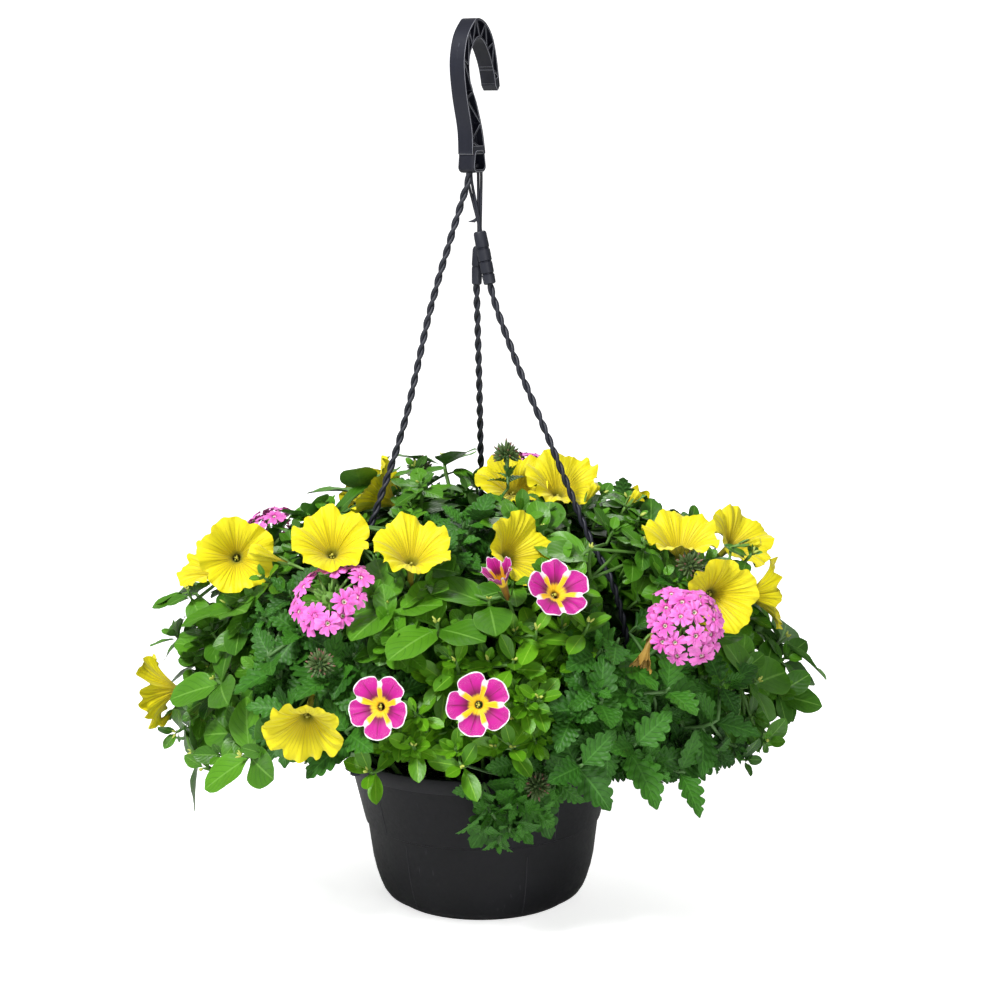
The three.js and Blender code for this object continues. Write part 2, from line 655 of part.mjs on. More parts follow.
// Each stem node carries blooms by name, and leafy sprigs at [azimuth, elevation, out].
// A fourth entry turns a sprig's axis to an azimuth and elevation of its own, and the sprigs
// numbered in buds end in a green bud head.
const STEMS = [
  { name: 'petunia_stem_01', kind: 'petunia', blooms: ['petunia_bloom_01', 'petunia_bloom_02'],
    sprigs: [[-95, 22, 20], [-72, 26, 0]] },
  { name: 'petunia_stem_02', kind: 'petunia', blooms: ['petunia_bloom_03', 'petunia_bloom_04'],
    sprigs: [[-56, 54, 0], [-110, 60, 8]] },
  { name: 'petunia_stem_03', kind: 'petunia', blooms: ['petunia_bloom_05'],
    sprigs: [[-24, 36, -4], [-10, 32, 0]] },
  { name: 'petunia_stem_04', kind: 'petunia', blooms: ['petunia_bloom_08', 'petunia_bloom_07'],
    sprigs: [[3, 38, -4], [30, 58, -4]] },
  { name: 'petunia_stem_05', kind: 'petunia', blooms: ['petunia_bloom_06'],
    sprigs: [[-160, 66, 22], [130, 60, 0]] },
  { name: 'petunia_stem_06', kind: 'petunia', blooms: ['petunia_bloom_09', 'petunia_bloom_10'],
    sprigs: [[40, 48, -4], [84, 50, 0]] },
  { name: 'petunia_stem_07', kind: 'petunia', blooms: ['petunia_bloom_11', 'petunia_bloom_12'],
    sprigs: [[70, 9, 2], [90, 12, 16]] },
  { name: 'petunia_stem_08', kind: 'petunia', blooms: ['petunia_bloom_13'],
    sprigs: [[-80, -6, 4], [-98, 8, 6]] },
  { name: 'petunia_stem_09', kind: 'petunia', blooms: ['petunia_bloom_14'],
    sprigs: [[-55, -1, 0], [-66, 12, 0]] },
  { name: 'petunia_stem_10', kind: 'petunia', blooms: ['petunia_bloom_15'],
    sprigs: [[-140, 20, 0], [-165, 46, 0]] },
  { name: 'petunia_stem_11', kind: 'petunia', blooms: ['petunia_bloom_16', 'petunia_bloom_17'],
    sprigs: [[125, 16, 0], [160, 10, 0]] },
  { name: 'verbena_stem_01', kind: 'verbena', heads: ['verbena_head_01'],
    sprigs: [[-50, 20, 0], [-34, 19, 2]], buds: [1] },
  { name: 'verbena_stem_02', kind: 'verbena',
    sprigs: [[-44, 11, 0], [-29, 8, 0]] },
  { name: 'verbena_stem_03', kind: 'verbena', heads: ['verbena_head_02'],
    sprigs: [[43, 14, 0], [34, 26, -4]] },
  { name: 'verbena_stem_04', kind: 'verbena',
    sprigs: [[55, 5, 0], [46, -4, 0], [34, 4, 0]] },
  { name: 'verbena_stem_05', kind: 'verbena',
    sprigs: [[16, -10, -48, [10, 15]], [8, -21, -27, [0, 0]]], buds: [0] },
  { name: 'verbena_stem_06', kind: 'verbena',
    sprigs: [[27, 14, 0], [22, 1, 0]] },
  { name: 'verbena_stem_07', kind: 'verbena',
    sprigs: [[-150, 60, 0], [0, 66, -4]], buds: [0] },
  { name: 'verbena_stem_08', kind: 'verbena', heads: ['verbena_head_03'],
    sprigs: [[-116, 12, 0], [-128, 44, 0]] },
  { name: 'verbena_stem_09', kind: 'verbena', heads: ['verbena_head_04'],
    sprigs: [[112, 40, 0], [-178, 32, 0]], buds: [1] },
  { name: 'calibrachoa_stem_01', kind: 'calibrachoa', striped: ['striped_bloom_01'],
    sprigs: [[8, 24, 0], [-5, 24, 0]] },
  { name: 'calibrachoa_stem_02', kind: 'calibrachoa', striped: ['striped_bloom_02'],
    sprigs: [[-14, 6, 0], [-24, 0, 0]] },
  { name: 'calibrachoa_stem_03', kind: 'calibrachoa', striped: ['striped_bloom_03', 'striped_bloom_05'],
    sprigs: [[14, 30, 0], [27, 30, 0]] },
  { name: 'calibrachoa_stem_04', kind: 'calibrachoa',
    sprigs: [[7, 6, 0], [-4, 2, 0], [13, 16, 0]] },
  { name: 'calibrachoa_stem_05', kind: 'calibrachoa', striped: ['striped_bloom_04'],
    sprigs: [[-152, 6, 0], [-176, 4, 0]] },
  { name: 'calibrachoa_stem_06', kind: 'calibrachoa',
    sprigs: [[105, 26, 0], [98, 0, 0], [128, -2, 0]] },
];

const PETUNIA = { radius: 32, tube: 34, cup: 28, wave: 2.4 };
const STRIPED = { radius: 25, tube: 24, cup: 8, wave: 1.2 };
const HEAD = { radius: 32 };
const BUD_HEAD_RADIUS = 8;
const STEM_RADIUS = { petunia: 2.3, verbena: 2, calibrachoa: 1.9 };
const BRANCH_RADIUS = { petunia: 1.7, verbena: 1.6, calibrachoa: 1.4 };
// Leaves at each leafy node of a sprig, from the lower to the upper, with its way back from the tip.
const SPRIG_NODES = {
  petunia: [{ back: 7, leaves: 3, size: 1, lean: 20 }],
  verbena: [
    { back: 17, leaves: 2, size: 1, lean: 12 },
    { back: 5, leaves: 2, size: 0.74, lean: 38, young: true },
  ],
  calibrachoa: [{ back: 13, leaves: 3, size: 1, lean: 14 }, { back: 4, leaves: 2, size: 0.8, lean: 48 }],
};
const NODE_HEIGHT = 2;
const SEAT_HEIGHT = 4;
const SEAT_RADIUS = 3.2;
const FAN = 0.36;
const FORK = 0.45;
const FORK_STEP = 0.07;
const ARCH = 0.2;
const HOLE_DEPTH = 14;

// ---------------------------------------------------------------- keeping pieces clear

const placed = [];

function boxesApart(a, b) {
  return [0, 1, 2].some((k) => a.min[k] > b.max[k] + CLEARANCE || b.min[k] > a.max[k] + CLEARANCE);
}

// A piece keeps the clearance to every other node, and only doesn't cross its own sprig.
function isClear(node, solid, { sprig = null, ignored = [] } = {}) {
  const box = solid.boundingBox();
  return placed.every((other) => {
    if (ignored.includes(other.node) || boxesApart(box, other.box)) {
      return true;
    }
    if (other.node !== node) {
      return solid.minGap(other.solid, CLEARANCE * 1.1) >= CLEARANCE;
    }
    return other.sprig !== sprig || sprig === null || solid.intersect(other.solid).volume() < 0.01;
  });
}

function place(node, solid, sprig = null) {
  placed.push({ node, solid, sprig, box: solid.boundingBox() });
}

// Tries one choice after another, and keeps the first that is clear.
function placeFirstClear(node, choices, make, options) {
  for (const choice of choices) {
    const solid = make(choice);
    if (isClear(node, solid, options)) {
      place(node, solid, options?.sprig ?? null);
      return choice;
    }
  }
  return null;
}

// ---------------------------------------------------------------- assembly

const basket = new THREE.Group();
basket.position.z = -SADDLE_HEIGHT;
const nodeSolids = new Map();
const nodeMaterials = new Map();

function addToNode(name, material, solid) {
  nodeMaterials.set(name, material);
  nodeSolids.set(name, nodeSolids.has(name) ? nodeSolids.get(name).add(solid) : solid);
}

// Hardware: the strands are laid first, and what they pass through is cut with their swollen form.
const swollen = Object.keys(STRAND_ROUTES).map((name) => strandSolids(name, CLEARANCE));
const swollenTubes = swollen.flatMap(({ body, neck }) => [body, neck]);
for (const name of Object.keys(STRAND_ROUTES)) {
  const solids = strandSolids(name, 0);
  for (const solid of Object.values(solids)) {
    addToNode(name, 'hanger_plastic', solid);
    place(name, solid);
  }
}
const pot = carve(potSolid(), swollen.map(({ body }) => body));
const hook = carve(hookSolid(), swollen.map(({ neck }) => neck));
const clip = carve(clipSolid(), swollenTubes);
addToNode('pot', 'pot_plastic', pot);
addToNode('hook', 'hanger_plastic', hook);
addToNode('strand_clip', 'hanger_plastic', clip);
place('pot', pot);
place('hook', hook);
place('strand_clip', clip);
const soil = soilSolid();
place('soil', soil);

// Blooms and heads, each with its foot where a stem will meet it.
const feet = {};

function seatBloom(name, { at, faces }, depth) {
  const axis = direction(...faces);
  const foot = moundPoint(...at).addScaledVector(axis, -depth);
  feet[name] = { foot, axis };
  return feet[name];
}

let flowerIndex = 0;
for (const [blooms, flower, material] of [
  [PETUNIA_BLOOMS, PETUNIA, 'yellow_petal'], [STRIPED_BLOOMS, STRIPED, 'striped_petal'],
]) {
  for (const [name, bloom] of Object.entries(blooms)) {
    flowerIndex += 1;
    const random = seededRandom(SEED + flowerIndex);
    const form = bloom.form ?? { ...flower, cup: flower.cup + (random() - 0.5) * 16 };
    const { foot, axis } = seatBloom(name, bloom, form.tube);
    const solid = solidFrom(stoodAlong(trumpetSolid(form, random), foot, axis));
    addToNode(name, material, solid);
    place(name, solid);
  }
}
for (const [name, head] of Object.entries(VERBENA_HEADS)) {
  flowerIndex += 1;
  const random = seededRandom(SEED + flowerIndex);
  const { foot, axis } = seatBloom(name, head, HEAD.radius * 0.5);
  const turn = new THREE.Quaternion().setFromUnitVectors(UP, axis);
  const matrix = new THREE.Matrix4().compose(foot, turn, vec(1, 1, 1));
  const solid = headSolid({ ...HEAD, ...head }, random).transform(matrix.elements);
  addToNode(name, 'pink_petal', solid);
  place(name, solid);
}

// Stems: a main stem stands in its hole in the soil and forks towards its blooms and sprigs.
function sprigAxis(point, facing) {
  return facing ? direction(...facing) : mix([[outwardAt(point), 0.8], [UP, 0.45]]).normalize();
}

function targetsOf(stem) {
  const bloomNames = [...(stem.blooms ?? []), ...(stem.heads ?? []), ...(stem.striped ?? [])];
  const flowers = bloomNames.map((name) => ({ ...feet[name], flower: name }));
  const sprigs = stem.sprigs.map(([azimuth, elevation, out, facing]) => {
    const foot = moundPoint(azimuth, elevation, out);
    return { foot, axis: sprigAxis(foot, facing) };
  });
  return [...sprigs, ...flowers];
}

// Sideways bends that a stem or branch tries in turn, as shares of its own length.
const BENDS = [[0, 0], [0.1, 0], [-0.1, 0], [0, 0.1], [0, -0.1], [0.2, 0], [-0.2, 0], [0, 0.2], [0, -0.2],
  [0.15, 0.15], [-0.15, 0.15], [0.15, -0.15], [-0.15, -0.15], [0.3, 0], [-0.3, 0], [0, 0.3], [0, -0.3]];

function bentCurve(start, startWay, end, endWay, [across, over]) {
  const span = end.clone().sub(start);
  const length = span.length();
  const side = span.clone().cross(UP).normalize();
  const lift = side.clone().cross(span).normalize();
  const bend = mix([[side, across * length], [lift, over * length]]);
  const near = mix([[start, 1], [startWay, length * 0.35], [bend, 1]]);
  const far = mix([[end, 1], [endWay, -length * 0.35], [bend, 1]]);
  return new THREE.CubicBezierCurve3(start, near, far, end);
}

// The way that a main stem takes from its root, rising in an arch over the rim.
function mainStem(stem) {
  const targets = targetsOf(stem);
  const middle = mix(targets.map(({ foot }) => [foot, 1 / targets.length]));
  const root = vec(middle.x * FAN, middle.y * FAN, SOIL_HEIGHT);
  const span = middle.clone().sub(root);
  const level = Math.hypot(span.x, span.y);
  const pathAt = (s) => mix([[root, 1], [span, s], [UP, ARCH * level * 4 * s * (1 - s)]]);
  const wayAt = (s) => pathAt(s + 0.02).sub(pathAt(s - 0.02)).normalize();
  return { targets, root, pathAt, wayAt };
}

// Turns a wanted direction by whole sides until it is nearest to the carried one.
function nearestSide(wanted, carried, way, sides) {
  const other = way.clone().cross(wanted).normalize();
  const angle = Math.atan2(carried.dot(other), carried.dot(wanted));
  const turns = Math.round(angle / (2 * Math.PI / sides));
  const turn = (turns * 2 * Math.PI) / sides;
  const across = mix([[wanted, Math.cos(turn)], [other, Math.sin(turn)]]);
  return { across, shift: ((turns % sides) + sides) % sides };
}

const roots = [];

function mainStops(stem, { root, pathAt, wayAt }) {
  const radius = STEM_RADIUS[stem.kind];
  roots.push({ root, radius });
  return [
    { at: vec(root.x, root.y, SOIL_HEIGHT - HOLE_DEPTH + CLEARANCE), way: UP, radius },
    { at: vec(root.x, root.y, SOIL_HEIGHT + 3), way: UP, radius },
    ...[0.2, FORK].map((s) => ({ at: pathAt(s), way: wayAt(s), radius: radius * (1.1 - 0.4 * s) })),
  ];
}

// Each ring's direction is carried on from the one before, and turned to its leaves at a leafy node.
function turnedRings(stops, sides) {
  let carried = vec(0, -1, 0);
  const level = (v, way) => v.clone().addScaledVector(way, -v.dot(way)).normalize();
  let shift = 0;
  return stops.map((stop) => {
    carried = level(carried, stop.way);
    if (stop.towards) {
      const turned = nearestSide(level(stop.towards, stop.way), carried, stop.way, sides);
      carried = turned.across;
      shift = turned.shift;
    }
    return { ...stop, across: carried, shift };
  });
}

// Turn about the sprig, lift out of its plane and size that a leaf tries in turn.
const LEAF_CHOICES = [1, 0.8, 0.62].flatMap((size) => (
  [0, 16, -16, 32].flatMap((lift) => [0, 14, -14, 28, -28].map((turn) => ({ turn, lift, size })))));

const sprigs = [];

// A direction square to a sprig's axis, turned from the first leaf of one of its leafy nodes.
function leafDirection(stem, order, nodeIndex, axis, degrees) {
  const first = UP.clone().addScaledVector(axis, -UP.dot(axis)).normalize();
  const second = axis.clone().cross(first);
  const step = stem.kind === 'verbena' ? 90 : 60;
  const phase = 60 * ((order * 2 + STEMS.indexOf(stem)) % 6) + step * nodeIndex + 20;
  const angle = THREE.MathUtils.degToRad(phase + degrees);
  return mix([[first, Math.cos(angle)], [second, Math.sin(angle)]]);
}

function growBranch(stem, order, main) {
  const { foot, axis, flower } = main.targets[order];
  const radius = BRANCH_RADIUS[stem.kind];
  const s = FORK - FORK_STEP * order;
  const way = main.wayAt(s);
  const start = main.pathAt(s).addScaledVector(way, order ? -2 : 0);
  const firstStops = order ? [{ at: start, way, radius }] : mainStops(stem, main);
  const gap = CLEARANCE * 1.1;
  const end = foot.clone().addScaledVector(axis, flower ? -gap - SEAT_HEIGHT : 0);
  const trumpet = flower && !flower.startsWith('verbena');
  const sides = trumpet ? 5 : 3;
  const nodes = flower ? [] : SPRIG_NODES[stem.kind];
  const curveOf = (bend) => bentCurve(start, way, end, axis, bend);
  const ringsOf = (bend) => {
    const curve = curveOf(bend);
    const length = curve.getLength();
    const stopAt = (u) => ({ at: curve.getPointAt(u), way: curve.getTangentAt(u), radius });
    const stops = [...firstStops];
    const farthest = nodes.length ? 1 - (nodes[0].back + 6) / length : 0.7;
    stops.push(stopAt(Math.max(0.2, farthest * 0.6)));
    nodes.forEach(({ back, leaves }, i) => {
      const u = Math.max(0.3, 1 - back / length);
      const towards = leafDirection(stem, order, i, axis, leaves === 2 ? 30 : 0);
      stops.push({ ...stopAt(u - NODE_HEIGHT / 2 / length), leafy: true, towards });
      stops.push(stopAt(u + NODE_HEIGHT / 2 / length));
    });
    if (flower) {
      stops.push({ at: end, way: axis, radius: trumpet ? 2.2 : radius });
      stops.push({ at: foot.clone().addScaledVector(axis, -gap), way: axis, radius: SEAT_RADIUS });
    } else {
      stops.push({ ...stopAt(1), radius: radius * 0.5 });
    }
    return turnedRings(stops, sides);
  };
  const sprig = `${stem.name} ${order}`;
  const bend = placeFirstClear(stem.name, BENDS, (choice) => stemSolid(ringsOf(choice), sides, []), {
    sprig, ignored: order ? [] : ['soil'],
  });
  if (!bend) {
    return;
  }
  sprigs.push({ stem, order, sprig, sides, axis, flower, nodes, rings: ringsOf(bend), blades: [] });
  if (stem.buds?.includes(order)) {
    const bud = new THREE.IcosahedronGeometry(BUD_HEAD_RADIUS, 0);
    const middle = end.clone().addScaledVector(axis, BUD_HEAD_RADIUS * 0.8);
    const solid = solidFrom(stoodAlong(bud, middle, axis));
    place(stem.name, solid, sprig);
    addToNode(stem.name, `${stem.kind}_leaf`, solid);
  }
}

// The leaf's direction turns about the sprig's axis, and leans up from its plane.
function growLeaf(grown, nodeIndex, number) {
  const { stem, order, sprig, sides, axis, nodes, rings, blades } = grown;
  const { kind } = stem;
  const { leaves, size, lean, young } = nodes[nodeIndex];
  const random = seededRandom(SEED + 1000 * STEMS.indexOf(stem) + 100 * order + 10 * nodeIndex + number);
  const ring = rings.indexOf(rings.filter((r) => r.leafy)[nodeIndex]);
  const spread = leaves === 3 ? 120 * number : 180 * number;
  const faceIndex = (number + sides - rings[ring].shift) % sides;
  const low = ringPoints(rings[ring], sides);
  const high = ringPoints(rings[ring + 1], sides);
  const next = (faceIndex + 1) % sides;
  const corners = [high[faceIndex], high[next], low[next], low[faceIndex]];
  const root = mix(corners.map((c) => [c, 0.25]));
  const jitter = (random() - 0.5) * 24;
  const grownSize = size * (0.88 + 0.24 * random());
  const pointsOf = ({ turn, lift, size: smaller }) => {
    const e = THREE.MathUtils.degToRad(lean + lift);
    const radial = leafDirection(stem, order, nodeIndex, axis, spread + jitter + turn);
    const along = mix([[radial, Math.cos(e)], [axis, Math.sin(e)]]);
    const face = mix([[radial, -Math.sin(e)], [axis, Math.cos(e)]]);
    return bladePoints(young ? `${kind}_young` : kind, root, along, face, grownSize * smaller);
  };
  const make = (choice) => bladeSolid(corners, pointsOf(choice));
  const choice = placeFirstClear(stem.name, LEAF_CHOICES, make, { sprig });
  if (choice) {
    blades.push({ ring, face: faceIndex, points: pointsOf(choice) });
  }
}

function growSepals({ rings, sides, axis, blades }) {
  const ring = rings.length - 2;
  const high = ringPoints(rings[ring + 1], sides);
  for (let k = 0; k < sides; k += 1) {
    const next = (k + 1) % sides;
    const top = high[k].clone().add(high[next]).multiplyScalar(0.5);
    const radial = top.clone().sub(rings[ring + 1].at).normalize();
    const along = mix([[radial, 0.5], [axis, 0.87]]);
    const face = mix([[axis, 0.5], [radial, -0.87]]);
    blades.push({ ring, face: k, points: bladePoints('sepal', top, along, face, 1) });
  }
}

const mains = STEMS.map(mainStem);
STEMS.forEach((stem, i) => growBranch(stem, 0, mains[i]));
STEMS.forEach((stem, i) => {
  for (let order = 1; order < mains[i].targets.length; order += 1) {
    growBranch(stem, order, mains[i]);
  }
});
for (const grown of sprigs.filter(({ flower }) => flower && !flower.startsWith('verbena'))) {
  growSepals(grown);
  place(grown.stem.name, stemSolid(grown.rings, grown.sides, grown.blades), grown.sprig);
}
for (const nodeIndex of [0, 1]) {
  for (let number = 0; number < 3; number += 1) {
    for (const grown of sprigs) {
      if (number < (grown.nodes[nodeIndex]?.leaves ?? 0)) {
        growLeaf(grown, nodeIndex, number);
      }
    }
  }
}
for (const { stem, rings, sides, blades } of sprigs) {
  addToNode(stem.name, `${stem.kind}_leaf`, stemSolid(rings, sides, blades));
}
addToNode('soil', 'soil', carve(soil, roots.map(({ root, radius }) => {
  const hole = vec(root.x, root.y, SOIL_HEIGHT - HOLE_DEPTH + 20);
  const wide = (radius * 1.1 + CLEARANCE) / Math.cos(Math.PI / 5);
  return cylinder(wide, wide, 40, 5, hole);
})));

for (const [name, solid] of nodeSolids) {
  basket.add(meshOf(name, outerSkin(solid), nodeMaterials.get(name)));
}

export default basket;
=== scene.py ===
# A hanging basket of yellow petunias, pink verbena and striped calibrachoa.
# Lengths inside the script are millimetres from the pot's foot; each piece is put into metres when it is made.
import math

import bpy
import numpy as np
from mathutils import Matrix, Vector
from mathutils.bvhtree import BVHTree
from mathutils.kdtree import KDTree


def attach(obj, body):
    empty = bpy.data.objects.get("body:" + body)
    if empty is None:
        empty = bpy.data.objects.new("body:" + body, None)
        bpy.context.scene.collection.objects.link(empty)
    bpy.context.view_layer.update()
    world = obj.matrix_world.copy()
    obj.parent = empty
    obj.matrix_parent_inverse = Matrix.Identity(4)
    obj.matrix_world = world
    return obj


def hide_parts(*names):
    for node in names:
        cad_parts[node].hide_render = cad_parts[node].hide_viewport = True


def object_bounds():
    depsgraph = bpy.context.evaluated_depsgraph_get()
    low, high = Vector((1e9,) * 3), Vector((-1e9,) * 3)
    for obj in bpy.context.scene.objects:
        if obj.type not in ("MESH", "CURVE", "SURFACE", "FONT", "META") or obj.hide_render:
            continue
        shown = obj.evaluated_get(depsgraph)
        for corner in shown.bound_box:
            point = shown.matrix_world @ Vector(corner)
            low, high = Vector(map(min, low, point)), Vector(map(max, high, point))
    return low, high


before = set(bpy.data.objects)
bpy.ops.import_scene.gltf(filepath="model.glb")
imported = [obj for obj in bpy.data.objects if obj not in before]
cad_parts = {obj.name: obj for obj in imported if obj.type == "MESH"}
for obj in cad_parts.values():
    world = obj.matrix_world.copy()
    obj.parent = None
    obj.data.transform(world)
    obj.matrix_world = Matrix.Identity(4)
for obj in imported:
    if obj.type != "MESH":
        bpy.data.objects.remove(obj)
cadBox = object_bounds()

saddleHeight = 717.5
seed = 4468
mound = {"side": 245, "front": 205, "up": 185, "down": 90, "middle": 165, "roundness": 2.5}
up = Vector((0, 0, 1))


def seededRandom(start):
    # the same draws as the solids were grown with
    state = [start & 0xffffffff]

    def draw():
        state[0] = (state[0] + 0x6d2b79f5) & 0xffffffff
        t = state[0]
        t = ((t ^ (t >> 15)) * (t | 1)) & 0xffffffff
        t ^= (t + (((t ^ (t >> 7)) * (t | 61)) & 0xffffffff)) & 0xffffffff
        return ((t ^ (t >> 14)) & 0xffffffff) / 4294967296
    return draw


def direction(azimuth, elevation):
    a, e = math.radians(azimuth), math.radians(elevation)
    return Vector((math.cos(e) * math.sin(a), -math.cos(e) * math.cos(a), math.sin(e)))


def moundPoint(azimuth, elevation, out):
    d = direction(azimuth, elevation)
    n = mound["roundness"]
    across = math.hypot(d.x / mound["side"], d.y / mound["front"])
    along = abs(d.z) / (mound["up"] if d.z > 0 else mound["down"])
    return Vector((0, 0, mound["middle"])) + d * ((across ** n + along ** n) ** (-1 / n) + out)


def outwardAt(p):
    z = p.z - mound["middle"]
    tall = mound["up"] if z > 0 else mound["down"]
    return Vector((p.x / mound["side"] ** 2, p.y / mound["front"] ** 2, z / tall ** 2)).normalized()


def squared(v, way):
    return (v - way * v.dot(way)).normalized()


def inMetres(points):
    return (np.asarray(points) - (0, 0, saddleHeight)) * 0.001


class Piece:
    # gathers faces in millimetres, then makes one object of them
    def __init__(self, name, materials):
        self.name = name
        self.materials = materials
        self.points, self.faces, self.uvs, self.tints, self.slots = [], [], [], [], []
        self.count = 0

    def add(self, points, faces, uvs=None, tint=0.5, slot=0, period=None):
        # period is how far the map's u runs once round, where the last column joins the first
        points = np.asarray(points, float)
        uvs = np.zeros((len(points), 2)) if uvs is None else np.asarray(uvs, float)
        corners = uvs[np.concatenate([np.asarray(f) for f in faces])]
        if period:
            first = np.concatenate([np.full(len(f), uvs[f[0]][0]) for f in faces])
            corners[:, 0] += period * np.round((first - corners[:, 0]) / period)
        self.points.append(points)
        self.faces += [tuple(int(i) + self.count for i in f) for f in faces]
        self.uvs.append(corners)
        self.tints.append(np.full(len(points), tint) if np.isscalar(tint) else np.asarray(tint, float))
        self.slots += [slot] * len(faces)
        self.count += len(points)

    def build(self, nodes=(), smooth=True):
        mesh = bpy.data.meshes.new(self.name)
        points = inMetres(np.vstack(self.points))
        mesh.from_pydata(points.tolist(), [], self.faces)
        layer = mesh.uv_layers.new(name="UVMap")
        layer.data.foreach_set("uv", np.vstack(self.uvs).ravel())
        tint = mesh.attributes.new("tint", "FLOAT", "POINT")
        tint.data.foreach_set("value", np.concatenate(self.tints))
        mesh.polygons.foreach_set("material_index", self.slots)
        mesh.polygons.foreach_set("use_smooth", [smooth] * len(mesh.polygons))
        for material in self.materials:
            mesh.materials.append(material)
        piece = bpy.data.objects.new(self.name, mesh)
        bpy.context.scene.collection.objects.link(piece)
        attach(piece, "root")
        if nodes:
            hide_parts(*nodes)
        return piece


def gridFaces(rows, cols, wrap=False):
    # quads over rows x cols points; wrap joins the last column to the first
    faces = []
    for r in range(rows - 1):
        for c in range(cols if wrap else cols - 1):
            d = (c + 1) % cols
            faces.append((r * cols + c, r * cols + d, (r + 1) * cols + d, (r + 1) * cols + c))
    return faces


def tube(path, radii, sides, capped=True):
    path = np.asarray([tuple(p) for p in path], float)
    n = len(path)
    radii = np.full(n, radii) if np.isscalar(radii) else np.asarray(radii, float)
    ways = np.gradient(path, axis=0)
    ways /= np.linalg.norm(ways, axis=1)[:, None]
    first = np.cross(ways[0], (0.3, 0.2, 0.9))
    across = first / np.linalg.norm(first)
    length = np.concatenate([[0], np.cumsum(np.linalg.norm(np.diff(path, axis=0), axis=1))])
    points, uvs = [], []
    for i in range(n):
        across = across - ways[i] * across.dot(ways[i])
        across /= np.linalg.norm(across)
        other = np.cross(ways[i], across)
        for k in range(sides):
            a = 2 * math.pi * k / sides
            points.append(path[i] + radii[i] * (across * math.cos(a) + other * math.sin(a)))
            uvs.append((k / sides, length[i] * 0.01))
    faces = gridFaces(n, sides, True)
    if capped:
        faces += [tuple(range(sides))[::-1], tuple((n - 1) * sides + k for k in range(sides))]
    return points, faces, uvs


def lathe(profile, segments, centre=(0, 0, 0)):
    points, uvs = [], []
    for i, (r, z) in enumerate(profile):
        for k in range(segments):
            a = 2 * math.pi * k / segments
            points.append((centre[0] + r * math.sin(a), centre[1] - r * math.cos(a), centre[2] + z))
            uvs.append((k / segments, i / len(profile)))
    return points, gridFaces(len(profile), segments, True), uvs


def applyModifiers(piece):
    mesh = bpy.data.meshes.new_from_object(piece.evaluated_get(bpy.context.evaluated_depsgraph_get()))
    piece.modifiers.clear()
    piece.data = mesh


def splitEdges(piece, degrees):
    # sharp corners stay sharp under smooth shading
    modifier = piece.modifiers.new("edges", "EDGE_SPLIT")
    modifier.split_angle = math.radians(degrees)
    applyModifiers(piece)


class Nodes:
    # a short way to write node trees: each call makes one node and returns its first output
    def __init__(self, tree):
        self.tree = tree
        self.links = tree.links

    def make(self, kind, inputs=None, **settings):
        node = self.tree.nodes.new(kind)
        for key, value in settings.items():
            setattr(node, key, value)
        for key, value in (inputs or {}).items():
            self.put(value, node.inputs[key])
        return node

    def put(self, value, socket):
        if isinstance(value, bpy.types.NodeSocket):
            self.links.new(value, socket)
        else:
            socket.default_value = value

    def math(self, operation, a, b=0.0, clamp=False):
        return self.make("ShaderNodeMath", {0: a, 1: b}, operation=operation, use_clamp=clamp).outputs[0]

    def plus(self, a, b, clamp=False):
        return self.math("ADD", a, b, clamp)

    def minus(self, a, b):
        return self.math("SUBTRACT", a, b)

    def times(self, a, b):
        return self.math("MULTIPLY", a, b)

    def larger(self, a, b):
        return self.math("MAXIMUM", a, b)

    def ramp(self, value, low, high):
        # 0 below low, 1 above high
        node = self.make("ShaderNodeMapRange", {"Value": value, "From Min": low, "From Max": high})
        node.interpolation_type = "SMOOTHSTEP"
        return node.outputs[0]

    def fall(self, value, low, high):
        # 1 below low, 0 above high
        return self.minus(1.0, self.ramp(value, low, high))

    def mix(self, factor, a, b, blend="MIX"):
        node = self.make("ShaderNodeMix", data_type="RGBA", blend_type=blend)
        self.put(factor, node.inputs[0])
        self.put(a, node.inputs[6])
        self.put(b, node.inputs[7])
        return node.outputs[2]

    def noise(self, scale, detail=2.0, vector=None, roughness=0.5):
        inputs = {"Scale": scale, "Detail": detail, "Roughness": roughness}
        if vector is not None:
            inputs["Vector"] = vector
        return self.make("ShaderNodeTexNoise", inputs).outputs["Fac"]

    def bump(self, height, strength, distance):
        inputs = {"Height": height, "Strength": strength, "Distance": distance}
        return self.make("ShaderNodeBump", inputs).outputs[0]

    def place(self):
        return self.make("ShaderNodeTexCoord").outputs["Object"]

    def uv(self):
        # the surface's own map, as u and v
        plane = self.make("ShaderNodeUVMap", uv_map="UVMap").outputs[0]
        return self.make("ShaderNodeSeparateXYZ", {0: plane}).outputs

    def tint(self):
        return self.make("ShaderNodeAttribute", attribute_name="tint").outputs["Fac"]


def newMaterial(name, **values):
    material = bpy.data.materials.new(name)
    material.use_nodes = True
    nodes = Nodes(material.node_tree)
    shader = material.node_tree.nodes["Principled BSDF"]
    for key, value in values.items():
        shader.inputs[key.replace("_", " ")].default_value = value
    return material, nodes, shader


def paint(n, shader, colour, height, strength, depth):
    n.put(colour, shader.inputs["Base Color"])
    n.put(n.bump(height, strength, depth), shader.inputs["Normal"])


def newGroup(name, inputs, outputs):
    # every socket is a plain number; inputs come with the value they have until they are set
    group = bpy.data.node_groups.new(name, "ShaderNodeTree")
    for label, value in inputs.items():
        group.interface.new_socket(label, in_out="INPUT", socket_type="NodeSocketFloat").default_value = value
    for label in outputs:
        group.interface.new_socket(label, in_out="OUTPUT", socket_type="NodeSocketFloat")
    nodes = Nodes(group)
    return group, nodes, nodes.make("NodeGroupInput").outputs, nodes.make("NodeGroupOutput").inputs


def useGroup(nodes, group, **values):
    node = nodes.make("ShaderNodeGroup", node_tree=group)
    for key, value in values.items():
        nodes.put(value, node.inputs[key])
    return node.outputs


def rgb(*values):
    return (*values, 1.0)


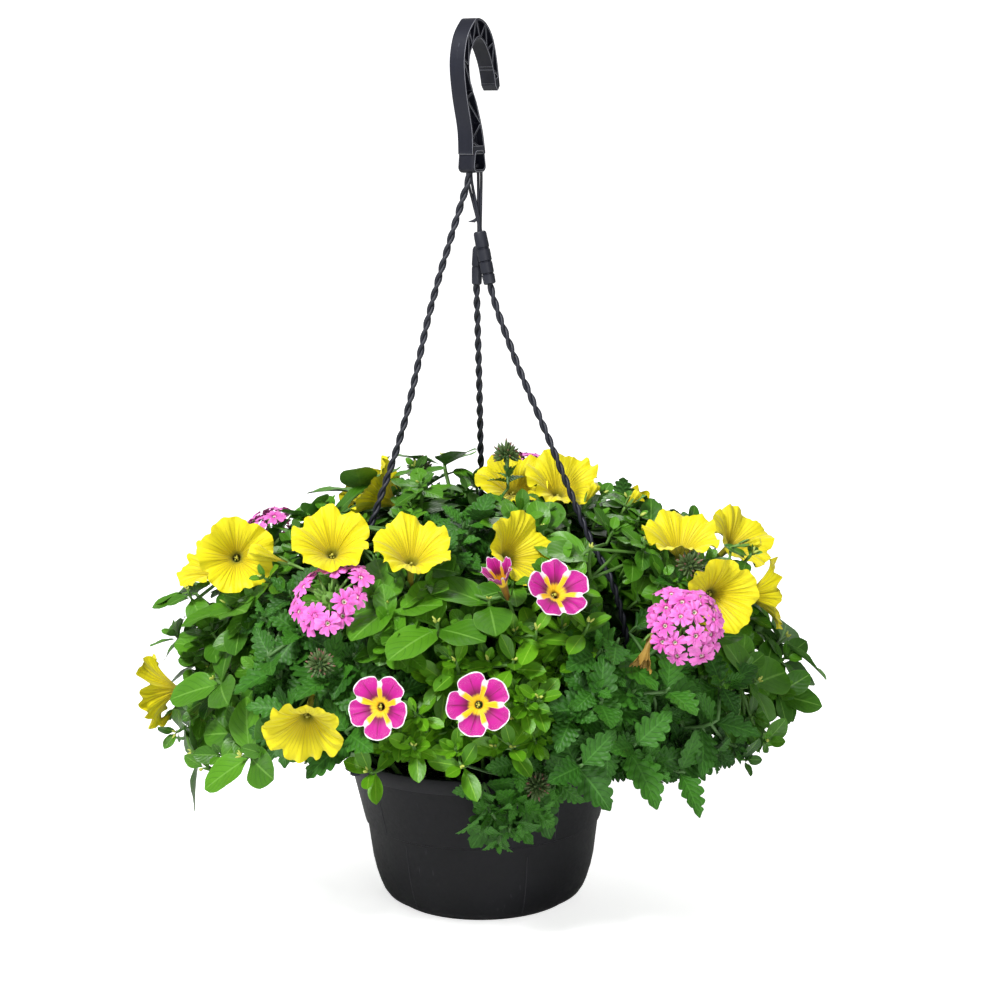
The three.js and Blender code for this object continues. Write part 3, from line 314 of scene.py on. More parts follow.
def leafVeinGroup():
    # midrib and slanting side veins from a leaf's own map, and the quilted height between them
    group, n, ins, outs = newGroup("leafVeins", {"count": 7.0, "slant": 0.5, "width": 0.12},
                                   ["rib", "side", "quilt", "edge"])
    uv = n.uv()
    across = n.math("ABSOLUTE", n.minus(n.times(uv[0], 2.0), 1.0))
    bent = n.times(n.math("POWER", across, 1.3), ins["slant"])
    phase = n.times(n.minus(uv[1], bent), ins["count"])
    fromVein = n.minus(0.5, n.math("ABSOLUTE", n.minus(n.math("FRACT", phase), 0.5)))
    n.put(n.times(n.fall(fromVein, 0.0, ins["width"]), n.fall(across, 0.6, 1.0)), outs["side"])
    n.put(n.fall(across, 0.02, 0.075), outs["rib"])
    n.put(n.times(fromVein, n.minus(1.0, n.times(across, 0.5))), outs["quilt"])
    n.put(n.ramp(across, 0.94, 1.0), outs["edge"])
    return group


def patchGroup():
    # slow and fine unevenness for leaves, stems, petals and plastic
    group, n, ins, outs = newGroup("unevenness", {"scale": 60.0}, ["slow", "fine"])
    place = n.place()
    n.put(n.noise(ins["scale"], 2.0, place), outs["slow"])
    n.put(n.noise(n.times(ins["scale"], 14.0), 3.0, place), outs["fine"])
    return group


leafVeins = leafVeinGroup()
unevenness = patchGroup()

leafLook = {
    "petuniaLeaf": {"dark": rgb(0.008, 0.055, 0.003), "light": rgb(0.1, 0.3, 0.012), "vein": rgb(0.2, 0.42, 0.07),
                    "veinGrooveShade": rgb(0.012, 0.07, 0.004), "back": rgb(0.14, 0.3, 0.08), "count": 6.0, "slant": 0.42,
                    "ribShare": 0.55, "sideShare": 0.35, "edgeShare": 0.3, "quilt": 0.25, "roughness": 0.4},
    "verbenaLeaf": {"dark": rgb(0.006, 0.045, 0.003), "light": rgb(0.046, 0.195, 0.01),
                    "vein": rgb(0.08, 0.25, 0.035), "veinGrooveShade": rgb(0.004, 0.03, 0.002),
                    "back": rgb(0.08, 0.2, 0.05), "count": 7.0, "slant": 0.34, "ribShare": 0.5,
                    "sideShare": 0.6, "edgeShare": 0.15, "quilt": 0.6, "roughness": 0.54},
    "calibrachoaLeaf": {"dark": rgb(0.02, 0.1, 0.002), "light": rgb(0.13, 0.36, 0.008),
                        "vein": rgb(0.3, 0.55, 0.05), "veinGrooveShade": rgb(0.03, 0.13, 0.004),
                        "back": rgb(0.2, 0.4, 0.07), "count": 5.0, "slant": 0.4, "ribShare": 0.5,
                        "sideShare": 0.2, "edgeShare": 0.2, "quilt": 0.15, "roughness": 0.42},
    # what all leaves share
    "veinWidth": 0.12, "patches": 70.0, "tintShare": 0.85, "slowShare": 0.3, "backShare": 0.6, "gloss": 0.32,
    "roughSpread": 0.24, "fineHeight": 0.08, "bump": 0.8, "bumpDepth": 0.0016,
}


def leafMaterial(name):
    look = leafLook[name]
    material, n, shader = newMaterial(name, Roughness=look["roughness"], Specular_IOR_Level=leafLook["gloss"])
    veins = useGroup(n, leafVeins, count=look["count"], slant=look["slant"], width=leafLook["veinWidth"])
    patches = useGroup(n, unevenness, scale=leafLook["patches"])
    shade = n.plus(n.times(n.tint(), leafLook["tintShare"]), n.times(patches["slow"], leafLook["slowShare"]), True)
    colour = n.mix(shade, look["dark"], look["light"])
    # side veins are painted dark: their own colour, and painted shade in their sunken grooves
    for part, ink in (("side", "veinGrooveShade"), ("rib", "vein"), ("edge", "vein")):
        colour = n.mix(n.times(veins[part], look[part + "Share"]), colour, look[ink])
    backside = n.make("ShaderNodeNewGeometry").outputs["Backfacing"]
    colour = n.mix(n.times(backside, leafLook["backShare"]), colour, look["back"])
    spread = leafLook["roughSpread"]
    n.put(n.plus(n.times(patches["fine"], spread), look["roughness"] - spread / 2), shader.inputs["Roughness"])
    height = n.plus(n.times(veins["quilt"], look["quilt"]), n.times(patches["fine"], leafLook["fineHeight"]))
    paint(n, shader, colour, height, leafLook["bump"], leafLook["bumpDepth"])
    return material


def stemMaterial(name, dark, light):
    material, n, shader = newMaterial(name, Roughness=0.55)
    patches = useGroup(n, unevenness, scale=50.0)
    paint(n, shader, n.mix(patches["slow"], dark, light), patches["fine"], 0.4, 0.0005)
    return material


petuniaLeaf = leafMaterial("petuniaLeaf")
verbenaLeaf = leafMaterial("verbenaLeaf")
calibrachoaLeaf = leafMaterial("calibrachoaLeaf")
greenStem = stemMaterial("greenStem", rgb(0.04, 0.13, 0.014), rgb(0.12, 0.26, 0.04))
verbenaStem = stemMaterial("verbenaStem", rgb(0.045, 0.12, 0.025), rgb(0.12, 0.26, 0.07))

petalLook = {
    "yellow": {"deep": rgb(0.58, 0.46, 0.001), "bright": rgb(0.72, 0.64, 0.004), "vein": rgb(0.43, 0.33, 0.001),
               "throat": rgb(0.3, 0.27, 0.004), "patches": 45.0, "bump": 0.8, "bumpDepth": 0.0018},
    "pink": {"deep": rgb(0.6, 0.055, 0.4), "bright": rgb(0.88, 0.23, 0.66), "ring": rgb(0.34, 0.03, 0.16),
             "eye": rgb(0.8, 0.6, 0.6), "patches": 90.0, "bump": 0.35, "bumpDepth": 0.0006},
    "striped": {"magenta": rgb(0.47, 0.001, 0.24), "dark": rgb(0.15, 0.0, 0.04), "white": rgb(0.8, 0.74, 0.77),
                "yellow": rgb(0.82, 0.5, 0.004), "eye": rgb(0.24, 0.11, 0.002), "patches": 160.0, "bump": 0.5,
                "bumpDepth": 0.001},
}


def petalCoordinates(n):
    # u runs round the flower, once for each lobe from notch to notch; v runs from the tube's foot to the edge
    uv = n.uv()
    return uv[0], uv[1], n.math("ABSOLUTE", n.minus(n.math("FRACT", uv[0]), 0.5))


def yellowMaterial():
    look = petalLook["yellow"]
    material, n, shader = newMaterial("yellowPetal", Roughness=0.55, Subsurface_Weight=0.2, Sheen_Weight=0.1,
                                      Specular_IOR_Level=0.3, Subsurface_Scale=0.6,
                                      Subsurface_Radius=(0.003, 0.003, 0.0003))
    around, out, fromMiddle = petalCoordinates(n)
    patches = useGroup(n, unevenness, scale=look["patches"])
    wobble = n.times(patches["slow"], 0.5)
    # thin veins fan out over each lobe, beside a stronger rib on its middle line
    fan = n.math("SINE", n.times(n.plus(around, n.times(wobble, 0.14)), 50.26))
    thin = n.times(n.ramp(fan, 0.5, 1.0), n.fall(out, 0.6, 1.0))
    rib = n.times(n.fall(fromMiddle, 0.0, 0.03), n.fall(out, 0.7, 1.0))
    vein = n.larger(n.times(thin, 0.5), n.times(rib, 0.6))
    colour = n.mix(n.ramp(n.plus(out, n.times(wobble, 0.2)), 0.38, 0.8), look["deep"], look["bright"])
    colour = n.mix(vein, colour, look["vein"])
    colour = n.mix(n.fall(n.minus(out, n.times(thin, 0.1)), 0.3, 0.4), colour, look["throat"])
    height = n.plus(n.times(n.minus(0.0, vein), 0.5), n.times(patches["fine"], 0.2))
    paint(n, shader, colour, height, look["bump"], look["bumpDepth"])
    return material


def pinkMaterial():
    look = petalLook["pink"]
    material, n, shader = newMaterial("pinkPetal", Roughness=0.55, Subsurface_Weight=0.15, Sheen_Weight=0.1,
                                      Specular_IOR_Level=0.3, Subsurface_Scale=0.5,
                                      Subsurface_Radius=(0.003, 0.001, 0.002))
    out, fromMiddle = petalCoordinates(n)[1:]
    patches = useGroup(n, unevenness, scale=look["patches"])
    shade = n.plus(n.times(n.tint(), 0.55), n.times(n.ramp(out, 0.2, 1.0), 0.5), clamp=True)
    colour = n.mix(shade, look["deep"], look["bright"])
    line = n.times(n.fall(fromMiddle, 0.0, 0.06), n.fall(out, 0.3, 0.9))
    colour = n.mix(n.times(line, 0.5), colour, look["deep"])
    colour = n.mix(n.fall(out, 0.14, 0.2), colour, look["ring"])
    colour = n.mix(n.fall(out, 0.07, 0.11), colour, look["eye"])
    paint(n, shader, colour, n.plus(patches["fine"], fromMiddle), look["bump"], look["bumpDepth"])
    return material


def stripedMaterial():
    look = petalLook["striped"]
    material, n, shader = newMaterial("stripedPetal", Roughness=0.55, Sheen_Weight=0.15, Specular_IOR_Level=0.3)
    out, fromMiddle = petalCoordinates(n)[1:]
    patches = useGroup(n, unevenness, scale=look["patches"])
    ragged = n.times(n.minus(patches["slow"], 0.5), 0.14)
    fromSeam = n.plus(n.minus(0.5, fromMiddle), ragged)
    # a pale ray follows each seam, as broad at the edge as near the eye
    broad = n.minus(0.26, n.times(out, 0.225))
    ray = n.fall(n.minus(fromSeam, broad), 0.0, 0.035)
    margin = n.ramp(n.plus(out, n.times(ragged, 0.5)), 0.96, 0.98)
    pale = n.larger(ray, margin)
    colour = n.mix(n.ramp(out, 0.45, 0.75), look["dark"], look["magenta"])
    rib = n.times(n.fall(fromMiddle, 0.0, 0.03), n.fall(out, 0.8, 0.97))
    colour = n.mix(n.times(rib, 0.7), colour, look["dark"])
    mottled = n.times(n.ramp(patches["fine"], 0.5, 0.66), n.times(n.ramp(out, 0.7, 0.98), 0.16))
    colour = n.mix(n.larger(pale, mottled), colour, look["white"])
    star = n.plus(n.times(n.minus(0.5, fromSeam), 0.74), 0.36)
    gold = n.fall(n.minus(out, star), 0.02, 0.14)
    colour = n.mix(n.times(gold, n.larger(pale, n.fall(out, 0.4, 0.5))), colour, look["yellow"])
    colour = n.mix(n.fall(n.plus(out, ragged), 0.27, 0.35), colour, look["eye"])
    height = n.plus(n.times(rib, -0.6), n.times(patches["fine"], 0.2))
    paint(n, shader, colour, height, look["bump"], look["bumpDepth"])
    return material


yellowPetal = yellowMaterial()
fadedPetal = stemMaterial("fadedPetal", rgb(0.16, 0.07, 0.02), rgb(0.5, 0.33, 0.05))
pinkPetal = pinkMaterial()
stripedPetal = stripedMaterial()

plasticLook = {
    # scuffAndSheen is scuffing with a painted sheen; edge is how much of it paints a highlight along the edges
    "potPlastic": {"dark": rgb(0.0024, 0.0025, 0.0036), "light": rgb(0.0075, 0.0077, 0.0105),
                   "scuffAndSheen": rgb(0.06, 0.06, 0.068), "edge": 0.35, "roughness": 0.5},
    "hangerPlastic": {"dark": rgb(0.004, 0.0044, 0.0075), "light": rgb(0.014, 0.0155, 0.026),
                      "scuffAndSheen": rgb(0.16, 0.17, 0.2), "edge": 0.14, "roughness": 0.42},
    # the hook's bevelled edges: wear, and a painted highlight along them
    "wornPlastic": {"dark": rgb(0.14, 0.146, 0.17), "light": rgb(0.34, 0.35, 0.39), "scuffAndSheen": rgb(0.5, 0.51, 0.55),
                    "edge": 0.55, "roughness": 0.5},
}


def plasticMaterial(name):
    look = plasticLook[name]
    material, n, shader = newMaterial(name, Roughness=look["roughness"], Specular_IOR_Level=0.25)
    patches = useGroup(n, unevenness, scale=22.0)
    # upright scuffed streaks with a painted sheen, and edges that are rubbed paler and painted with a highlight
    stretched = n.make("ShaderNodeMapping", {0: n.place(), "Scale": (1.0, 1.0, 0.18)}).outputs[0]
    streak = n.ramp(n.noise(320.0, 4.0, stretched), 0.62, 0.78)
    edge = n.ramp(n.make("ShaderNodeNewGeometry").outputs["Pointiness"], 0.52, 0.6)
    streak = n.times(streak, n.times(n.ramp(patches["slow"], 0.45, 0.7), 0.35))
    colour = n.mix(patches["slow"], look["dark"], look["light"])
    colour = n.mix(n.larger(streak, n.times(edge, look["edge"])), colour, look["scuffAndSheen"])
    n.put(n.plus(n.times(patches["fine"], 0.22), look["roughness"] - 0.1), shader.inputs["Roughness"])
    paint(n, shader, colour, patches["fine"], 0.25, 0.0004)
    return material


potPlastic = plasticMaterial("potPlastic")
hangerPlastic = plasticMaterial("hangerPlastic")
wornPlastic = plasticMaterial("wornPlastic")

soilLook = {"dark": rgb(0.012, 0.007, 0.004), "light": rgb(0.07, 0.042, 0.024), "grit": rgb(0.4, 0.37, 0.32)}


def soilMaterial():
    material, n, shader = newMaterial("pottingMix", Roughness=0.95)
    place = n.place()
    crumbs = n.make("ShaderNodeTexVoronoi", {"Vector": place, "Scale": 260.0}).outputs["Distance"]
    colour = n.mix(n.noise(40.0, 4.0, place), soilLook["dark"], soilLook["light"])
    grit = n.ramp(n.noise(700.0, 1.0, place), 0.66, 0.7)
    colour = n.mix(n.times(grit, 0.8), colour, soilLook["grit"])
    paint(n, shader, colour, n.plus(crumbs, n.noise(600.0, 3.0, place)), 0.9, 0.003)
    return material


pottingMix = soilMaterial()
print("materials made")

# What grows where, as the solids have it: each flower's place as (azimuth, elevation, out), and how it faces.
petuniaBlooms = {
    "petunia_bloom_01": ((-85, 30, 16), (-50, 50)), "petunia_bloom_02": ((-68, 35, 24), (6, 18)),
    "petunia_bloom_03": ((-40, 43, 26), (0, 48)), "petunia_bloom_04": ((-82, 66, 2), (-95, 35)),
    "petunia_bloom_05": ((-18, 45, 20), (8, 58)), "petunia_bloom_06": ((102, 81, 3), (0, 55)),
    "petunia_bloom_07": ((82, 70, 6), (15, 55)), "petunia_bloom_08": ((13, 51, -7), (45, 28)),
    "petunia_bloom_09": ((62, 40, 14), (10, 70)), "petunia_bloom_10": ((98, 31, 20), (45, 40)),
    "petunia_bloom_11": ((60, 28, 13), (20, 5)), "petunia_bloom_12": ((86, 22, 10), (88, 5)),
    "petunia_bloom_13": ((-84, 5, 22), (-97, -5)), "petunia_bloom_14": ((-34, 9, 24), (-8, -28)),
    "petunia_bloom_15": ((-150, 38, 26), (-150, 35)), "petunia_bloom_16": ((140, 30, 26), (140, 25)),
    "petunia_bloom_17": ((178, 18, 26), (180, 15)),
}
stripedBlooms = {
    "striped_bloom_01": ((0, 15, 18), (0, 15)), "striped_bloom_02": ((-20, 14, 18), (-20, 14)),
    "striped_bloom_03": ((19, 36, 18), (22, 39)), "striped_bloom_04": ((-165, 12, 16), (-165, 15)),
    "striped_bloom_05": ((6, 38, 22), (-20, 50)),
}
verbenaHeads = {
    "verbena_head_01": ((-35, 31, 18), (-30, 20)), "verbena_head_02": ((45, 25, 23), (20, 35)),
    "verbena_head_03": ((-120, 30, 14), (-125, 30)), "verbena_head_04": ((160, 50, 14), (165, 50)),
}
petuniaForm = {"radius": 32, "tube": 34, "cup": 28, "wave": 2.4}
stripedForm = {"radius": 25, "tube": 24, "cup": 8, "wave": 1.2}
wiltedForm = {"radius": 13, "tube": 18, "cup": 66, "wave": 2.5}
headRadius = 32

# name, kind, flowers, sprigs at (azimuth, elevation, out[, facing]), sprigs that end in a bud head
stems = [
    ("petunia_stem_01", "petunia", ["petunia_bloom_01", "petunia_bloom_02"], [(-95, 22, 20), (-72, 26, 0)], []),
    ("petunia_stem_02", "petunia", ["petunia_bloom_03", "petunia_bloom_04"], [(-56, 54, 0), (-110, 60, 8)], []),
    ("petunia_stem_03", "petunia", ["petunia_bloom_05"], [(-24, 36, -4), (-10, 32, 0)], []),
    ("petunia_stem_04", "petunia", ["petunia_bloom_08", "petunia_bloom_07"], [(3, 38, -4), (30, 58, -4)], []),
    ("petunia_stem_05", "petunia", ["petunia_bloom_06"], [(-160, 66, 22), (130, 60, 0)], []),
    ("petunia_stem_06", "petunia", ["petunia_bloom_09", "petunia_bloom_10"], [(40, 48, -4), (84, 50, 0)], []),
    ("petunia_stem_07", "petunia", ["petunia_bloom_11", "petunia_bloom_12"], [(70, 9, 2), (90, 12, 16)], []),
    ("petunia_stem_08", "petunia", ["petunia_bloom_13"], [(-80, -6, 4), (-98, 8, 6)], []),
    ("petunia_stem_09", "petunia", ["petunia_bloom_14"], [(-55, -1, 0), (-66, 12, 0)], []),
    ("petunia_stem_10", "petunia", ["petunia_bloom_15"], [(-140, 20, 0), (-165, 46, 0)], []),
    ("petunia_stem_11", "petunia", ["petunia_bloom_16", "petunia_bloom_17"], [(125, 16, 0), (160, 10, 0)], []),
    ("verbena_stem_01", "verbena", ["verbena_head_01"], [(-50, 20, 0), (-34, 19, 2)], [1]),
    ("verbena_stem_02", "verbena", [], [(-44, 11, 0), (-29, 8, 0)], []),
    ("verbena_stem_03", "verbena", ["verbena_head_02"], [(43, 14, 0), (34, 26, -4)], []),
    ("verbena_stem_04", "verbena", [], [(55, 5, 0), (46, -4, 0), (34, 4, 0)], []),
    ("verbena_stem_05", "verbena", [], [(16, -10, -48, (10, 15)), (8, -21, -27, (0, 0))], [0]),
    ("verbena_stem_06", "verbena", [], [(27, 14, 0), (22, 1, 0)], []),
    ("verbena_stem_07", "verbena", [], [(-150, 60, 0), (0, 66, -4)], [0]),
    ("verbena_stem_08", "verbena", ["verbena_head_03"], [(-116, 12, 0), (-128, 44, 0)], []),
    ("verbena_stem_09", "verbena", ["verbena_head_04"], [(112, 40, 0), (-178, 32, 0)], [1]),
    ("calibrachoa_stem_01", "calibrachoa", ["striped_bloom_01"], [(8, 24, 0), (-5, 24, 0)], []),
    ("calibrachoa_stem_02", "calibrachoa", ["striped_bloom_02"], [(-14, 6, 0), (-24, 0, 0)], []),
    ("calibrachoa_stem_03", "calibrachoa", ["striped_bloom_03", "striped_bloom_05"], [(14, 30, 0), (27, 30, 0)],
     []),
    ("calibrachoa_stem_04", "calibrachoa", [], [(7, 6, 0), (-4, 2, 0), (13, 16, 0)], []),
    ("calibrachoa_stem_05", "calibrachoa", ["striped_bloom_04"], [(-152, 6, 0), (-176, 4, 0)], []),
    ("calibrachoa_stem_06", "calibrachoa", [], [(105, 26, 0), (98, 0, 0), (128, -2, 0)], []),
]
growth = {
    "stemRadius": {"petunia": 2.3, "verbena": 2.0, "calibrachoa": 1.9},
    "branchRadius": {"petunia": 1.7, "verbena": 1.6, "calibrachoa": 1.4},
    # each leafy node of a sprig: way back from the tip, leaves, size, lean, young
    "sprigNodes": {"petunia": [(7, 3, 1, 20, False)], "verbena": [(17, 2, 1, 12, False), (5, 2, 0.74, 38, True)],
                   "calibrachoa": [(13, 3, 1, 14, False), (4, 2, 0.8, 48, False)]},
    "nodeHeight": 2, "seatHeight": 4, "seatRadius": 3.2, "neckRadius": 2.2, "gap": 0.35 * 1.1, "holeGap": 0.35,
    "fan": 0.36, "fork": 0.45, "forkStep": 0.07, "arch": 0.2, "handle": 0.35, "outward": 0.8, "upward": 0.45,
    "soilHeight": 112, "holeDepth": 14, "jitter": 24,
    "foundWithin": 0.5,                               # a leaf is the solid's when its tip is this near
}
bends = [(0, 0), (0.1, 0), (-0.1, 0), (0, 0.1), (0, -0.1), (0.2, 0), (-0.2, 0), (0, 0.2), (0, -0.2),
         (0.15, 0.15), (-0.15, 0.15), (0.15, -0.15), (-0.15, -0.15), (0.3, 0), (-0.3, 0), (0, 0.3), (0, -0.3)]
leafChoices = [(turn, lift, size) for size in (1, 0.8, 0.62) for lift in (0, 16, -16, 32)
               for turn in (0, 14, -14, 28, -28)]

feet = {}
for blooms, depth in ((petuniaBlooms, petuniaForm["tube"]), (stripedBlooms, stripedForm["tube"]),
                      (verbenaHeads, headRadius * 0.5)):
    for name, (at, faces) in blooms.items():
        axis = direction(*faces)
        reach = wiltedForm["tube"] if name == "striped_bloom_05" else depth
        feet[name] = (moundPoint(*at) - axis * reach, axis)


class Bezier:
    # a bent way from one place to another, read by its own length
    def __init__(self, start, startWay, end, endWay, bend):
        span = end - start
        length = span.length
        side = span.cross(up).normalized()
        lift = side.cross(span).normalized()
        shift = side * (bend[0] * length) + lift * (bend[1] * length)
        near = start + startWay * (length * growth["handle"]) + shift
        far = end - endWay * (length * growth["handle"]) + shift
        self.corners = np.array([tuple(p) for p in (start, near, far, end)])
        self.steps = np.linspace(0, 1, 201)
        way = self.at(self.steps)
        self.lengths = np.concatenate([[0], np.cumsum(np.linalg.norm(np.diff(way, axis=0), axis=1))])
        self.length = self.lengths[-1]

    def at(self, t):
        t = np.atleast_1d(t)[:, None]
        a, b, c, d = self.corners
        return (1 - t) ** 3 * a + 3 * (1 - t) ** 2 * t * b + 3 * (1 - t) * t ** 2 * c + t ** 3 * d

    def place(self, u):
        return Vector(self.at(np.interp(u * self.length, self.lengths, self.steps))[0])

    def way(self, u):
        t = float(np.interp(u * self.length, self.lengths, self.steps))
        a, b = self.at(np.array([max(t - 1e-4, 0), min(t + 1e-4, 1)]))
        return Vector(b - a).normalized()


def mainStem(stem):
    flowers, sprigSpots = stem[2:4]
    targets = []
    for spot in sprigSpots:
        foot = moundPoint(*spot[:3])
        axis = (outwardAt(foot) * growth["outward"] + up * growth["upward"]).normalized()
        targets.append((foot, direction(*spot[3]) if len(spot) > 3 else axis, None))
    targets += [(*feet[flower], flower) for flower in flowers]
    middle = sum((t[0] for t in targets), Vector()) / len(targets)
    root = Vector((middle.x * growth["fan"], middle.y * growth["fan"], growth["soilHeight"]))
    span = middle - root
    level = math.hypot(span.x, span.y)

    def pathAt(s):
        return root + span * s + up * (growth["arch"] * level * 4 * s * (1 - s))

    def wayAt(s):
        return (pathAt(s + 0.02) - pathAt(s - 0.02)).normalized()
    return {"targets": targets, "root": root, "pathAt": pathAt, "wayAt": wayAt}


def ringCorners(ring, sides):
    other = ring["way"].cross(ring["across"])
    return [ring["at"] + ring["across"] * (ring["radius"] * math.cos(a)) + other * (ring["radius"] * math.sin(a))
            for a in ((k - 0.5) / sides * 2 * math.pi for k in range(sides))]


def turnedRings(stops, sides):
    carried, shift, rings = Vector((0, -1, 0)), 0, []
    for stop in stops:
        carried = squared(carried, stop["way"])
        if "towards" in stop:
            wanted = squared(stop["towards"], stop["way"])
            other = stop["way"].cross(wanted).normalized()
            turns = math.floor(math.atan2(carried.dot(other), carried.dot(wanted)) / (2 * math.pi / sides) + 0.5)
            turn = turns * 2 * math.pi / sides
            carried = wanted * math.cos(turn) + other * math.sin(turn)
            shift = turns % sides
        rings.append({**stop, "across": carried, "shift": shift})
    return rings


def leafDirection(stemIndex, kind, order, nodeIndex, axis, degrees):
    first = squared(up, axis)
    second = axis.cross(first)
    step = 90 if kind == "verbena" else 60
    phase = 60 * ((order * 2 + stemIndex) % 6) + step * nodeIndex + 20
    a = math.radians(phase + degrees)
    return first * math.cos(a) + second * math.sin(a)


def branchRings(stem, stemIndex, order, main, bend):
    kind = stem[1]
    foot, axis, flower = main["targets"][order]
    radius = growth["branchRadius"][kind]
    s = growth["fork"] - growth["forkStep"] * order
    way = main["wayAt"](s)
    start = main["pathAt"](s) + way * (-2 if order else 0)
    root = main["root"]
    if order:
        stops = [{"at": start, "way": way, "radius": radius}]
    else:
        thick, soil = growth["stemRadius"][kind], growth["soilHeight"]
        stops = [{"at": Vector((root.x, root.y, z)), "way": up, "radius": thick}
                 for z in (soil - growth["holeDepth"] + growth["holeGap"], soil + 3)]
        stops += [{"at": main["pathAt"](t), "way": main["wayAt"](t), "radius": thick * (1.1 - 0.4 * t)}
                  for t in (0.2, growth["fork"])]
    end = foot + axis * (-growth["gap"] - growth["seatHeight"] if flower else 0)
    trumpet = bool(flower) and not flower.startswith("verbena")
    sides = 5 if trumpet else 3
    leafy = [] if flower else growth["sprigNodes"][kind]
    curve = Bezier(start, way, end, axis, bend)

    def stopAt(u):
        return {"at": curve.place(u), "way": curve.way(u), "radius": radius}
    farthest = 1 - (leafy[0][0] + 6) / curve.length if leafy else 0.7
    stops.append(stopAt(max(0.2, farthest * 0.6)))
    for i, (back, leaves) in enumerate(node[:2] for node in leafy):
        u = max(0.3, 1 - back / curve.length)
        half = growth["nodeHeight"] / 2 / curve.length
        towards = leafDirection(stemIndex, kind, order, i, axis, 30 if leaves == 2 else 0)
        stops.append({**stopAt(u - half), "leafy": True, "towards": towards})
        stops.append(stopAt(u + half))
    if flower:
        stops.append({"at": end, "way": axis, "radius": growth["neckRadius"] if trumpet else radius})
        stops.append({"at": foot - axis * growth["gap"], "way": axis, "radius": growth["seatRadius"]})
    else:
        stops.append({**stopAt(1), "radius": radius * 0.5})
    return turnedRings(stops, sides), sides, curve


def nodePoints(name):
    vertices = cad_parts[name].data.vertices
    return np.array([(v.co.x * 1000, v.co.y * 1000, v.co.z * 1000 + saddleHeight) for v in vertices])


def nodeTree(name):
    points = nodePoints(name)
    tree = KDTree(len(points))
    for i, p in enumerate(points):
        tree.insert(p, i)
    tree.balance()
    return tree


def growStem(stemIndex):
    # finds the bend of each branch and the turn of each leaf that the solid has
    stem = stems[stemIndex]
    name, kind = stem[:2]
    main = mainStem(stem)
    tree = nodeTree(name)
    branches = []
    for order, (foot, axis, flower) in enumerate(main["targets"]):
        best = None
        for bend in bends:
            rings, sides, curve = branchRings(stem, stemIndex, order, main, bend)
            ring = rings[4 if order == 0 else 1]
            miss = max(tree.find(c)[2] for c in ringCorners(ring, sides))
            if best is None or miss < best[0]:
                best = (miss, rings, sides, curve)
        miss, rings, sides, curve = best
        branch = {"order": order, "foot": foot, "axis": axis, "flower": flower, "curve": curve, "leaves": [],
                  "miss": miss, "main": main}
        branches.append(branch)
        if flower:
            continue
        leafyRings = [i for i, r in enumerate(rings) if r.get("leafy")]
        for nodeIndex, (leaves, size, lean, young) in enumerate(node[1:] for node in growth["sprigNodes"][kind]):
            ring = leafyRings[nodeIndex]
            for number in range(leaves):
                random = seededRandom(seed + 1000 * stemIndex + 100 * order + 10 * nodeIndex + number)
                spread = 120 * number if leaves == 3 else 180 * number
                face = (number + sides - rings[ring]["shift"]) % sides
                low, high = ringCorners(rings[ring], sides), ringCorners(rings[ring + 1], sides)
                after = (face + 1) % sides
                leafRoot = (high[face] + high[after] + low[after] + low[face]) / 4
                jitter = (random() - 0.5) * growth["jitter"]
                grown = size * (0.88 + 0.24 * random())
                form = leafForms[kind + "_young" if young else kind]
                found = None
                for turn, lift, smaller in leafChoices:
                    e = math.radians(lean + lift)
                    radial = leafDirection(stemIndex, kind, order, nodeIndex, axis, spread + jitter + turn)
                    along = radial * math.cos(e) + axis * math.sin(e)
                    normal = radial * -math.sin(e) + axis * math.cos(e)
                    length = form["length"] * grown * smaller
                    tip = leafRoot + along * length - normal * (form["droop"] * length)
                    gap = tree.find(tip)[2]
                    if found is None or gap < found[0] - 0.01:
                        found = (gap, leafRoot, along, normal, grown * smaller)
                if found[0] < growth["foundWithin"]:
                    branch["leaves"].append((*found[1:], young))
    return branches


leafForms = {
    "petunia": {"length": 48, "width": 34, "fold": 0.2, "droop": 0.16, "rows": 13, "cols": 8, "widest": 1.12,
                "blunt": 0.56, "teeth": 0, "cut": 0, "wave": 1.5, "quilt": 0.2},
    "verbena": {"length": 47, "width": 35, "fold": 0.26, "droop": 0.2, "rows": 36, "cols": 6, "widest": 0.74,
                "blunt": 0.72, "teeth": 6, "cut": 0.3, "wave": 1.3, "quilt": 0.75},
    "verbena_young": {"length": 47, "width": 33, "fold": 0.3, "droop": 0.2, "rows": 30, "cols": 6, "widest": 0.74,
                      "blunt": 0.72, "teeth": 5, "cut": 0.36, "wave": 1.2, "quilt": 0.75},
    "calibrachoa": {"length": 28, "width": 15, "fold": 0.25, "droop": 0.1, "rows": 10, "cols": 6, "widest": 1.35,
                    "blunt": 0.6, "teeth": 0, "cut": 0, "wave": 0.5, "quilt": 0.1},
    "sepal": {"length": 15, "width": 4.2, "fold": 0.1, "droop": -0.06, "rows": 5, "cols": 2, "widest": 0.8,
              "blunt": 0.6, "teeth": 0, "cut": 0, "wave": 0, "quilt": 0},
}


bladeForm = {"variants": 6, "ripples": 9, "veins": 7, "veinSlant": 0.34, "toothLength": 0.035}


